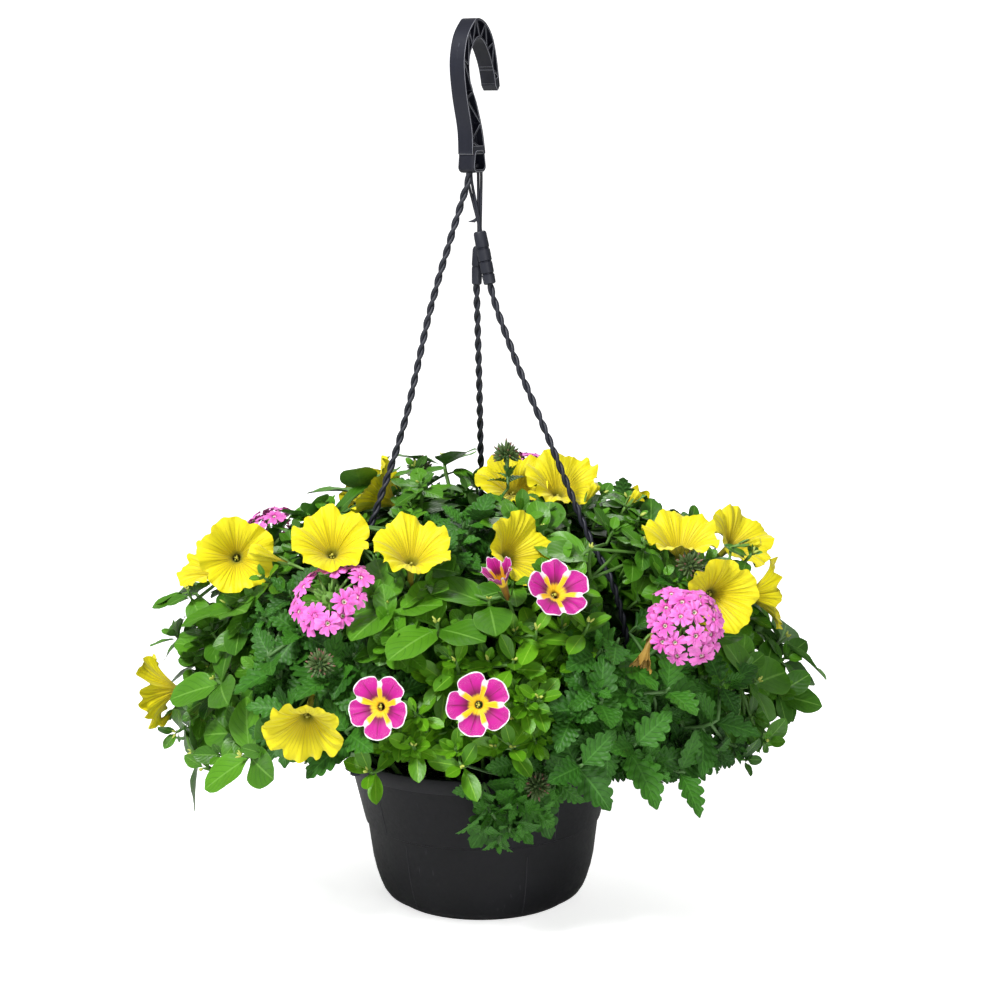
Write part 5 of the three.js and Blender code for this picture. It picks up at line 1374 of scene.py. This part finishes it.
def addBudHead(piece, foot, axis, rng):
    # many narrow pointed buds over a dome, on a short stalk
    stalk, count, dome = (budHeadForm[k] for k in ("stalk", "count", "dome"))
    at = foot + axis * stalk
    path = [foot - axis * 3, foot + axis * (stalk * 0.5), at + axis * 4]
    piece.add(*tube(path, [1.6, 1.6, 3.2], 8), 0.5, 1)
    for i in range(count):
        lean = math.acos(1 - budHeadForm["spread"] * (i + 0.5) / count)
        way = Matrix(frameAlong(axis).tolist()) @ direction(math.degrees(i * goldenTurn), 90 - math.degrees(lean))
        length = rng.uniform(*budHeadForm["length"]) * (1 - 0.16 * lean)
        addBud(piece, at + way * dome, way, rng.uniform(*budHeadForm["width"]), length, 2)
        if i % 3 == 0:
            addBud(piece, at + way * (dome + length * 0.55), way, budHeadForm["tipWidth"], length * 0.5, 4)


for stemIndex, branches in enumerate(grown):
    kind, budded = stems[stemIndex][1], stems[stemIndex][4]
    for order, branch in enumerate(branches):
        if branch["flower"]:
            continue
        tip = branch["curve"].place(1)
        if order in budded:
            addBudHead(stemPieces[stemIndex], tip, branch["axis"], rng)
        elif kind != "verbena":
            addPaleBuds(stemPieces[stemIndex], tip, branch["axis"], rng, 3)
for piece, at, axis in budSpots:
    addBudHead(piece, at, axis, rng)
print("buds made")

closedForm = {
    # where the tip stands, the way it points, how long, how broad
    "closed_petunia_01": ((-62, 37, 30), (-80, 22), 34, 6.0),
    "closed_petunia_02": ((86, 31, 34), (80, 12), 19, 3.4),
    "closed_petunia_03": ((70, 62, 18), (60, 60), 20, 3.2),
    "closed_petunia_04": ((76, 54, 20), (95, 50), 17, 3.0),
    "closed_petunia_05": ((-86, -2, 26), (-60, -40), 18, 2.6),
}


def closedFlower(name):
    # a folded trumpet: pleats twist round a slim spindle that opens a little at the tip
    at, way, length, breadth = closedForm[name]
    tip, axis = moundPoint(*at), direction(*way)
    foot = tip - axis * length
    piece = Piece(name, [yellowPetal, calyxGreen])
    rows, columns = 18, 40
    points, uvs = [], []
    for r in range(rows + 1):
        t = r / rows
        opened = 0.25 * t + 0.75 * max(0, t - 0.3) ** 1.2 / 0.65
        w = 1.3 + breadth * opened * (1 if t < 0.85 else 1 - 3.2 * (t - 0.85))
        for k in range(columns):
            a = 2 * math.pi * k / columns
            pleat = 1 + 0.24 * min(1, t * 2) * math.sin(5 * a + 2.4 * t)
            points.append((w * pleat * math.cos(a), w * pleat * math.sin(a), length * t))
            uvs.append((5 * k / columns, 0.35 + 0.6 * t))
    faces = gridFaces(rows + 1, columns, True) + [tuple(range(rows * columns, (rows + 1) * columns))]
    addStood(piece, (points, faces, uvs), foot, frameAlong(axis), 0, period=5.0)
    addSepals(piece, foot + axis * 0.8, axis, 0.7, 16)
    found = lines.find(foot)[0]
    path = [found, found.lerp(foot, 0.5) - up * 3, foot - axis * 6, foot - axis, foot + axis * 2]
    piece.add(*tube(path, [1.3, 1.2, 1.2, 1.5, 1.6], 8), 0.5, 1)
    piece.build()


for name in closedForm:
    closedFlower(name)

fadedForm = {"at": (41, 25, 2), "faces": (-30, -50), "radius": 9, "tube": 13, "cup": 68, "wave": 2.6}


def fadedFlower():
    # a brown flower that has dropped its lobes
    foot = moundPoint(*fadedForm["at"])
    axis = direction(*fadedForm["faces"])
    rng = np.random.default_rng(seed + 77)
    piece = Piece("faded_flower", [fadedPetal, calyxGreen])
    made = trumpet(fadedForm, trumpetForm["wilted"], seededRandom(seed + 77), rng)
    addStood(piece, made, foot, frameAlong(axis), 0, period=5.0)
    addSepals(piece, foot, axis, 0.7, 30)
    found = lines.find(foot)[0]
    path = [found, found.lerp(foot, 0.5) - up * 2, foot - axis * 4, foot + axis]
    piece.add(*tube(path, [1.3, 1.2, 1.2, 1.6], 8), 0.5, 1)
    piece.build()


fadedFlower()
print("closed and faded flowers made")

for piece, (name, kind, *_) in zip(stemPieces, stems):
    made = piece.build([name])

potForm = {
    "side": [(66, 0), (74, 0.9), (77, 3), (83, 6.6), (86, 11), (88.5, 17), (91.6, 27), (94, 38), (98, 69.2),
             (99.8, 70.2), (100.1, 71.2), (111.4, 119.4), (112.4, 120)],
    "band": [(114.6, 120), (115, 120.5), (115, 131), (114.6, 131.8), (113.8, 132), (111.6, 132), (111, 131.4),
             (110.9, 129)],
    "inside": [(109.5, 120), (96, 70), (83.8, 12), (75, 4.8), (66, 2), (0.01, 2)],
    "segments": 112, "drains": 5, "drainStart": 36, "drainRadius": 5, "drainCircle": 44,
    # the three eyes on the rim: where they stand, half their width and length, their hole and their heights
    "lugs": (-60, 60, 180), "lugCircle": 120, "lugHalf": (6.2, 7.2), "lugHole": 3.1, "lugSides": 32,
    "lugHeights": (127.2, 127.8, 130.6, 131.2), "splitAngle": 40,
    # thin moulding lines as (azimuth, lowest, highest)
    "seams": [(-52, 72, 118), (-40, 6, 66), (36, 72, 118), (22, 6, 60), (140, 6, 118), (-140, 6, 118)],
    "seamRadius": 0.45,
}


def potPiece():
    piece = Piece("pot_shell", [potPlastic])
    profile = [(0.01, 0)] + potForm["side"] + potForm["band"] + potForm["inside"]
    piece.add(*lathe(profile, potForm["segments"]), 0.5)
    sides = potForm["lugSides"]
    for azimuth in potForm["lugs"]:
        # a tongue with rounded corners and a hole for the strand
        ring, hole = [], []
        out = direction(azimuth, 0)
        across = Vector((-out.y, out.x, 0))
        for k in range(sides):
            a = 2 * math.pi * k / sides
            x, y = potForm["lugHalf"][0] * math.cos(a), potForm["lugHalf"][1] * math.sin(a)
            power = (abs(math.cos(a)) ** 5 + abs(math.sin(a)) ** 5) ** (-1 / 5)
            ring.append((x * power, y * power))
            hole.append((potForm["lugHole"] * math.cos(a), potForm["lugHole"] * math.sin(a)))
        broad = [(x * 1.03, y * 1.03) for x, y in ring]
        foot, low, high, top = potForm["lugHeights"]
        layers = [(hole, foot), (ring, foot), (broad, low), (broad, high), (ring, top), (hole, top), (hole, foot)]
        points = [tuple(out * (potForm["lugCircle"] + y) + across * x + up * z)
                  for outline, z in layers for x, y in outline]
        piece.add(points, gridFaces(len(layers), sides, True), None, 0.5)
    for azimuth, low, high in potForm["seams"]:
        out = direction(azimuth, 0)
        heights = np.linspace(low, high, 14)
        reach = np.interp(heights, [z for r, z in potForm["side"]], [r for r, z in potForm["side"]])
        path = [out * r + up * z for r, z in zip(reach, heights)]
        piece.add(*tube(path, potForm["seamRadius"], 6), 0.5)
    made = piece.build(["pot"])
    for i in range(potForm["drains"]):
        place = direction(potForm["drainStart"] + 360 / potForm["drains"] * i, 0) * potForm["drainCircle"]
        points, faces = tube([place - up * 5, place + up * 5], potForm["drainRadius"], 24)[:2]
        cutterMesh = bpy.data.meshes.new("drain")
        cutterMesh.from_pydata(inMetres(points).tolist(), [], faces)
        tool = bpy.data.objects.new("drain", cutterMesh)
        bpy.context.scene.collection.objects.link(tool)
        cut = made.modifiers.new("drain", "BOOLEAN")
        cut.operation, cut.object, cut.solver = "DIFFERENCE", tool, "EXACT"
        applyModifiers(made)
        bpy.data.objects.remove(tool)
    splitEdges(made, potForm["splitAngle"])


potPiece()
print("pot made")


soilForm = {
    "height": 112.6, "radius": 104.2, "slopesFrom": 90, "slope": 0.18, "rings": 34, "segments": 120,
    "lumps": 10, "lump": 0.5, "grain": 0.5, "edge": 100, "edgeDrop": 1.2,
    "side": [(64, 2.6), (82, 12.6), (94, 70), (104.2, 108)],
}


def soilPiece():
    rng = np.random.default_rng(seed + 40)
    segments, side, height = soilForm["segments"], soilForm["side"], soilForm["height"]
    turns = [2 * math.pi * k / segments for k in range(segments)]
    waves = rng.uniform(-1, 1, (soilForm["lumps"], 4))
    points = [(r * math.sin(a), -r * math.cos(a), z) for r, z in side for a in turns]
    for r in np.linspace(soilForm["radius"], 0.5, soilForm["rings"]):
        z = height if r < soilForm["slopesFrom"] else height - (r - soilForm["slopesFrom"]) * soilForm["slope"]
        drop = soilForm["edgeDrop"] if r > soilForm["edge"] else 0
        for a in turns:
            x, y = r * math.sin(a), -r * math.cos(a)
            bumps = sum(w[0] * math.sin(x * 0.09 * (i + 1) * w[1] + y * 0.08 * (i + 1) * w[2] + w[3] * 9)
                        for i, w in enumerate(waves))
            grain = rng.uniform(-soilForm["grain"], soilForm["grain"])
            points.append((x, y, z + soilForm["lump"] * bumps + grain - drop))
    rows = soilForm["rings"] + len(side)
    faces = gridFaces(rows, segments, True)
    faces += [tuple(range(segments))[::-1], tuple((rows - 1) * segments + k for k in range(segments))]
    piece = Piece("potting_soil", [pottingMix])
    piece.add(points, faces, None, 0.5)
    made = piece.build(["soil"])


soilPiece()
print("soil made")

hookForm = {
    # both outlines lie in the hook's own plane, from the saddle under its crown
    "outer": [(-12, -92), (-13, -72), (-20, -45), (-23, -20), (-18, 0), (-8, 12), (0, 16), (12, 12), (22, 1),
              (28, -16), (32, -38)],
    "inner": [(8, -92), (4, -73), (-4, -52), (-13, -35), (-14.5, -18), (-9, -6), (0, 0), (8, -3), (16, -13),
              (22, -25), (25.5, -38)],
    "steps": 72, "thickness": 14, "skin": 1.7, "web": 2.4, "cells": 15, "turn": 59, "tip": (29, -42),
    "bevel": 0.6, "bevelAngle": 40,
    "collarFloor": 610.5, "collarHeight": 19, "collarWidth": 20, "collarThickness": 16, "collarMiddle": -2.4,
    "collarWall": 1.3, "collarRound": 4.0, "collarTaper": 1.5,
}


def plateSpline(points, t):
    # uniform Catmull-Rom in the plate's own plane
    p = (len(points) - 1) * t
    i = min(int(math.floor(p)), len(points) - 2)
    w = p - i
    a, b = points[max(i - 1, 0)], points[i]
    c, d = points[i + 1], points[min(i + 2, len(points) - 1)]
    return tuple(0.5 * (2 * b[k] + (c[k] - a[k]) * w + (2 * a[k] - 5 * b[k] + 4 * c[k] - d[k]) * w * w
                        + (3 * b[k] - a[k] - 3 * c[k] + d[k]) * w ** 3) for k in (0, 1))


def hookPlace(along, square, height):
    turn = math.radians(hookForm["turn"])
    c, s = math.cos(turn), math.sin(turn)
    return Vector((along * c + square * s, along * s - square * c, height))


def addPlate(piece, outline, half, middle=0.0):
    # an outline in the hook's plane, made into a plate of its own thickness
    n = len(outline)
    points = [tuple(hookPlace(a, middle + s * half, saddleHeight + z)) for s in (-1, 1) for a, z in outline]
    faces = [tuple(range(n)), tuple(range(n, 2 * n))[::-1]]
    faces += [(k, n + k, n + (k + 1) % n, (k + 1) % n) for k in range(n)]
    piece.add(points, faces, None, 0.5)


def hookPiece():
    piece = Piece("hanging_hook", [hangerPlastic, wornPlastic])
    outer, inner = ([plateSpline(hookForm[k], i / hookForm["steps"]) for i in range(hookForm["steps"] + 1)]
                    for k in ("outer", "inner"))
    skin = hookForm["skin"]

    def drawnIn(edge, other):
        made = []
        for (a, z), (b, y) in zip(edge, other):
            reach = math.hypot(b - a, y - z)
            made.append((a + (b - a) * skin / reach, z + (y - z) * skin / reach))
        return made
    half = hookForm["thickness"] / 2
    addPlate(piece, outer + drawnIn(outer, inner)[::-1], half)
    addPlate(piece, drawnIn(inner, outer) + inner[::-1], half)
    addPlate(piece, drawnIn(outer, inner) + drawnIn(inner, outer)[::-1], hookForm["web"] / 2)
    # the slanting ribs run from edge to edge
    cells = hookForm["cells"]
    cellStep = 0.96 / cells
    for i in range(cells + 1):
        t = 0.03 + cellStep * i
        a = Vector(plateSpline(hookForm["outer" if i % 2 else "inner"], max(t - cellStep * 0.5, 0.01)))
        b = Vector(plateSpline(hookForm["inner" if i % 2 else "outer"], min(t + cellStep * 0.5, 0.99)))
        a, b = a.lerp(b, 0.06), b.lerp(a, 0.06)
        length = math.hypot(b[0] - a[0], b[1] - a[1])
        across = (-(b[1] - a[1]) / length * skin * 0.5, (b[0] - a[0]) / length * skin * 0.5)
        addPlate(piece, [(a[0] - across[0], a[1] - across[1]), (b[0] - across[0], b[1] - across[1]),
                         (b[0] + across[0], b[1] + across[1]), (a[0] + across[0], a[1] + across[1])], half - 0.4)
    end = [outer[-1], hookForm["tip"], inner[-1], inner[-4], outer[-4]]
    addPlate(piece, end, half)
    foot = [outer[0], outer[3], inner[3], inner[0]]
    addPlate(piece, foot, half)
    # the collar bulges out round a pocket on the ribbed side
    width, middle = hookForm["collarWidth"], hookForm["collarMiddle"]
    low = hookForm["collarFloor"] - saddleHeight
    high = low + hookForm["collarHeight"]
    half = hookForm["collarThickness"] / 2

    def rounded(shrink, lift):
        # a round-cornered outline, narrower at the top
        made = []
        corner = hookForm["collarRound"]
        left, right = middle - width / 2, middle + width / 2
        taper = hookForm["collarTaper"]
        corners = [(left + shrink, low + lift, 180), (right - shrink, low + lift, 270),
                   (right - taper - shrink, high - shrink, 0), (left + taper + shrink, high - shrink, 90)]
        for a, z, begin in corners:
            inX, inZ = (1 if begin in (180, 90) else -1), (1 if begin in (180, 270) else -1)
            for k in range(6):
                angle = math.radians(begin + 18 * k)
                made.append((a + corner * inX + corner * math.cos(angle),
                             z + corner * inZ + corner * math.sin(angle)))
        return made
    wall = hookForm["collarWall"]
    loops = [(2.6, -half), (0.9, 0.6 - half), (0.2, 1.8 - half), (0, 3.4 - half), (0, half - 3.4),
             (0.2, half - 1.6), (0.8, half - 0.4), (1.1, half)]
    ring = [tuple(hookPlace(a, s, saddleHeight + z)) for shrink, s in loops for a, z in rounded(shrink, shrink)]
    for shrink, lift, s in ((wall + 0.6, 2.6, half), (wall + 0.8, 2.8, 2.2 - half)):
        ring += [tuple(hookPlace(a, s, saddleHeight + z)) for a, z in rounded(shrink, lift)]
    n = len(rounded(0, 0))
    rows = len(loops) + 2
    faces = [tuple(range(n))] + gridFaces(rows, n, True) + [tuple(range((rows - 1) * n, rows * n))[::-1]]
    piece.add(ring, faces, None, 0.5)
    made = piece.build(["hook"], smooth=False)
    bevel = made.modifiers.new("edges", "BEVEL")
    bevel.width, bevel.segments = hookForm["bevel"] * 0.001, 2
    bevel.angle_limit = math.radians(hookForm["bevelAngle"])
    bevel.material = 1                                        # the edges are worn pale and painted with a highlight
    applyModifiers(made)


hookPiece()
print("hook made")

strandForm = {
    # seats and rods lie in the collar's plane; points run down to the rim eye at that azimuth
    "strand_left": {"seat": -7.6, "eye": -60, "plied": -30, "rods": [],
                    "points": [(-9, -7, 590), (-35, -18, 507), (-60, -33, 407), (-83, -46, 341),
                               (-101, -56, 293), (-117, -65, 235), (-115, -66, 185), (-105, -61, 150)]},
    "strand_right": {"seat": -2, "eye": 60, "plied": 24,
                     "rods": [(-4.4, (4.4, -1.8, 564)), (-0.8, (5.2, -0.4, 564))],
                     "points": [(9, -3, 562), (12, -4, 521), (30, -14, 465), (57, -30, 399), (89, -48, 320),
                                (109, -60, 279), (121, -68, 224), (119, -68, 180), (106, -61, 150)]},
    "strand_back": {"seat": 3.6, "eye": 180, "plied": 20,
                    "rods": [(2.2, (3.4, 1.4, 564)), (5.2, (5.0, 1.8, 564))],
                    "points": [(1, 5, 562), (1, 6.5, 521), (2, 30, 420), (2, 75, 300), (2, 104, 220),
                               (2, 118, 170)]},
}
plyForm = {
    "pitch": 24.0, "ply": 1.6, "offset": 1.42, "rod": 1.2,
    # lathed ends: a button under the rim eye and a knob in the collar
    "button": [(0.05, 0), (3.6, 0), (4.4, 0.6), (4.4, 2), (3.6, 4), (0.05, 4)], "buttonHeight": 122.6,
    "knob": [(0.05, 0), (2.5, 0), (2.4, 2.4), (1.8, 3.4), (0.05, 3.5)], "knobOver": 3.5,
}


def centripetal(points, count):
    # the same smooth way through its points as the solids follow
    points = [np.array(p, float) for p in points]
    ends = [2 * points[0] - points[1]] + points + [2 * points[-1] - points[-2]]
    way = []
    for j in range(count + 1):
        p = (len(points) - 1) * j / count
        i = min(int(math.floor(p)), len(points) - 2)
        w = p - i
        p0, p1, p2, p3 = ends[i:i + 4]
        d0, d1, d2 = (max(float(np.linalg.norm(b - a)), 1e-4) ** 0.5 for a, b in ((p0, p1), (p1, p2), (p2, p3)))
        t1 = ((p1 - p0) / d0 - (p2 - p0) / (d0 + d1) + (p2 - p1) / d1) * d1
        t2 = ((p2 - p1) / d1 - (p3 - p1) / (d1 + d2) + (p3 - p2) / d2) * d1
        way.append(p1 + t1 * w + (-3 * p1 + 3 * p2 - 2 * t1 - t2) * w * w + (2 * p1 - 2 * p2 + t1 + t2) * w ** 3)
    return np.array(way)


def evenly(way, step):
    lengths = np.concatenate([[0], np.cumsum(np.linalg.norm(np.diff(way, axis=0), axis=1))])
    count = max(int(lengths[-1] / step), 2)
    at = np.linspace(0, lengths[-1], count + 1)
    return np.stack([np.interp(at, lengths, way[:, k]) for k in range(3)], axis=1), at


def carriedAcross(way):
    ways = np.gradient(way, axis=0)
    ways /= np.linalg.norm(ways, axis=1)[:, None]
    across = np.cross(ways[0], (0.3, 0.9, 0.1))
    made = []
    for w in ways:
        across = across - w * across.dot(w)
        across = across / np.linalg.norm(across)
        made.append((across, np.cross(w, across)))
    return made


for name, form in strandForm.items():
    piece = Piece(name.replace("strand", "cordage"), [hangerPlastic])
    eye = direction(form["eye"], 0) * potForm["lugCircle"]
    route = form["points"] + [(eye.x, eye.y, 135), (eye.x, eye.y, 125)]
    top = hookPlace(form["seat"], 0, hookForm["collarFloor"] + 5)
    if not form["rods"]:
        # twisted all the way up into the collar
        route = [tuple(top), tuple(hookPlace(form["seat"], 0, hookForm["collarFloor"] - 4))] + route
    way, at = evenly(centripetal(route, 240), 1.6)
    sides = carriedAcross(way)
    for ply in (0, math.pi):
        path = []
        for p, s, (a, b) in zip(way, at, sides):
            if s < form["plied"]:
                continue
            turn = 2 * math.pi * s / plyForm["pitch"] + ply
            path.append(p + plyForm["offset"] * (a * math.cos(turn) + b * math.sin(turn)))
        piece.add(*tube(path, plyForm["ply"], 8), 0.5)
    # above the clip the two plies run apart into the collar
    for square, foot in form["rods"]:
        seat = Vector(hookPlace(form["seat"], square, hookForm["collarFloor"] + 3))
        low = Vector(foot)
        neckRoute = [tuple(low - up * 12), foot, tuple(low.lerp(seat, 0.5) - up * 4),
                     tuple(seat - up * 8), tuple(seat)]
        neck, at = evenly(centripetal(neckRoute, 40), 2)
        piece.add(*tube(neck, plyForm["rod"], 8), 0.5)
    piece.add(*lathe(plyForm["button"], 20, (eye.x, eye.y, plyForm["buttonHeight"])), 0.5)
    piece.add(*lathe(plyForm["knob"], 16, (top.x, top.y, hookForm["collarFloor"] + plyForm["knobOver"])), 0.5)
    made = piece.build([name])

clipForm = {
    # barrels as (top, foot, radius, stops along it with the share of the radius)
    "barrels": [((4.2, -0.2, 563), (12.2, -4.2, 520), 5.6,
                 [(0, 0.62), (0.01, 0.86), (0.05, 0.96), (0.3, 1.0), (0.31, 0.9), (0.34, 0.9), (0.35, 1.0),
                  (0.55, 1.0), (0.56, 0.88), (0.58, 0.88), (0.59, 0.97), (0.78, 0.95), (0.79, 0.84), (0.81, 0.84),
                  (0.82, 0.94), (0.98, 0.9), (1, 0.66)]),
                ((2.4, 4.2, 551), (1.2, 6.3, 519), 4.5,
                 [(0, 0.3), (0.03, 0.7), (0.1, 0.9), (0.5, 1), (0.52, 0.9), (0.55, 0.9), (0.57, 0.98), (0.97, 0.92),
                  (1, 0.68)])],
    # where the bridge meets each barrel, and the barb's way
    "bridge": (0.42, 0.2), "bridgeRadii": [4.2, 3.8, 3.6],
    "barb": [(2.6, 0.4, 574), (0.2, -1.2, 571.5), (-4.6, -3.2, 571)], "barbRadii": [1.1, 1.5, 0.25],
    "splitAngle": 35,
}


def clipPiece():
    piece = Piece("clip_body", [hangerPlastic])
    for top, low, radius, stops in clipForm["barrels"]:
        top, low = Vector(top), Vector(low)
        piece.add(*tube([top.lerp(low, t) for t, r in stops], [radius * r for t, r in stops], 26))
    # a bridge joins the barrels where they part
    (a, b), (c, d) = [[Vector(v) for v in barrel[:2]] for barrel in clipForm["barrels"]]
    first, second = a.lerp(b, clipForm["bridge"][0]), c.lerp(d, clipForm["bridge"][1])
    piece.add(*tube([first, first.lerp(second, 0.5), second], clipForm["bridgeRadii"], 16))
    # a small barb stands off a rod above
    piece.add(*tube([Vector(q) for q in clipForm["barb"]], clipForm["barbRadii"], 8))
    made = piece.build(["strand_clip"])
    splitEdges(made, clipForm["splitAngle"])


clipPiece()
print("strands and clip made")

stageForm = {
    "floor": -0.7175, "size": 6.0, "front": -4.0, "bendStart": 3.0, "bend": 1.2, "top": 5.0,
    # world light, what the camera sees of it, and the paper's own glow for the camera
    "world": 0.3, "seen": 1.0, "glow": 0.72,
    # lamps as place, size and power, all aimed at one point
    "aim": (0, 0, -0.4),
    "lamps": {"key": ((-1.0, -1.5, 1.6), 0.55, 86), "fill": ((0.9, -2.6, 0.1), 1.0, 20),
              "back": ((0.5, 2.2, 1.4), 1.2, 26)},
}


def stagePiece():
    # one sheet that runs back and curves up behind the basket
    mesh = bpy.data.meshes.new("studio_sheet")
    start, bend = stageForm["bendStart"], stageForm["bend"]
    profile = [(stageForm["front"], 0.0), (start, 0.0)]
    profile += [(start + bend * math.sin(a), bend - bend * math.cos(a)) for a in np.linspace(0.1, math.pi / 2, 12)]
    profile += [(start + bend, stageForm["top"])]
    points = [(x, y, stageForm["floor"] + z) for y, z in profile for x in (-stageForm["size"], stageForm["size"])]
    mesh.from_pydata(points, [], [(2 * i, 2 * i + 1, 2 * i + 3, 2 * i + 2) for i in range(len(profile) - 1)])
    for polygon in mesh.polygons:
        polygon.use_smooth = True
    material, n, shader = newMaterial("studioPaper", Roughness=0.9)
    slow = n.noise(1.2, 2.0, n.place())
    n.put(n.mix(slow, rgb(0.84, 0.84, 0.84), rgb(0.88, 0.88, 0.88)), shader.inputs["Base Color"])
    # the camera alone sees the paper a little brighter, so that it stays white
    shader.inputs["Emission Color"].default_value = rgb(1, 1, 1)
    seen = n.make("ShaderNodeLightPath").outputs["Is Camera Ray"]
    n.put(n.times(seen, stageForm["glow"]), shader.inputs["Emission Strength"])
    mesh.materials.append(material)
    sheet = bpy.data.objects.new("studio_sheet", mesh)
    bpy.context.scene.collection.objects.link(sheet)


def areaLight(name, place, size, power):
    data = bpy.data.lights.new(name, "AREA")
    data.size, data.energy = size, power
    light = bpy.data.objects.new(name, data)
    light.location = place
    light.rotation_euler = (Vector(stageForm["aim"]) - Vector(place)).to_track_quat("-Z", "Y").to_euler()
    bpy.context.scene.collection.objects.link(light)


stagePiece()
for name, (place, size, power) in stageForm["lamps"].items():
    areaLight(name, place, size, power)

bpy.context.scene.view_settings.view_transform = "Standard"
world = bpy.data.worlds.new("studio")
bpy.context.scene.world = world
world.use_nodes = True
sky = Nodes(world.node_tree)
backdrop = world.node_tree.nodes["Background"]
backdrop.inputs["Color"].default_value = rgb(1, 1, 1)
seen = sky.make("ShaderNodeLightPath").outputs["Is Camera Ray"]
strength = sky.plus(sky.times(seen, stageForm["seen"] - stageForm["world"]), stageForm["world"])
sky.put(strength, backdrop.inputs["Strength"])

cameraForm = {"place": (0.018, -1.95, -0.0265), "down": 10.2, "roll": -0.76, "lens": 85.75, "sensor": 36}
cameraData = bpy.data.cameras.new("camera")
cameraData.lens = cameraForm["lens"]
cameraData.sensor_width = cameraForm["sensor"]
camera = bpy.data.objects.new("camera", cameraData)
camera.location = cameraForm["place"]
tilted = Matrix.Rotation(math.radians(90 - cameraForm["down"]), 3, "X")
camera.rotation_euler = (tilted @ Matrix.Rotation(math.radians(cameraForm["roll"]), 3, "Z")).to_euler()
bpy.context.scene.collection.objects.link(camera)
bpy.context.scene.camera = camera
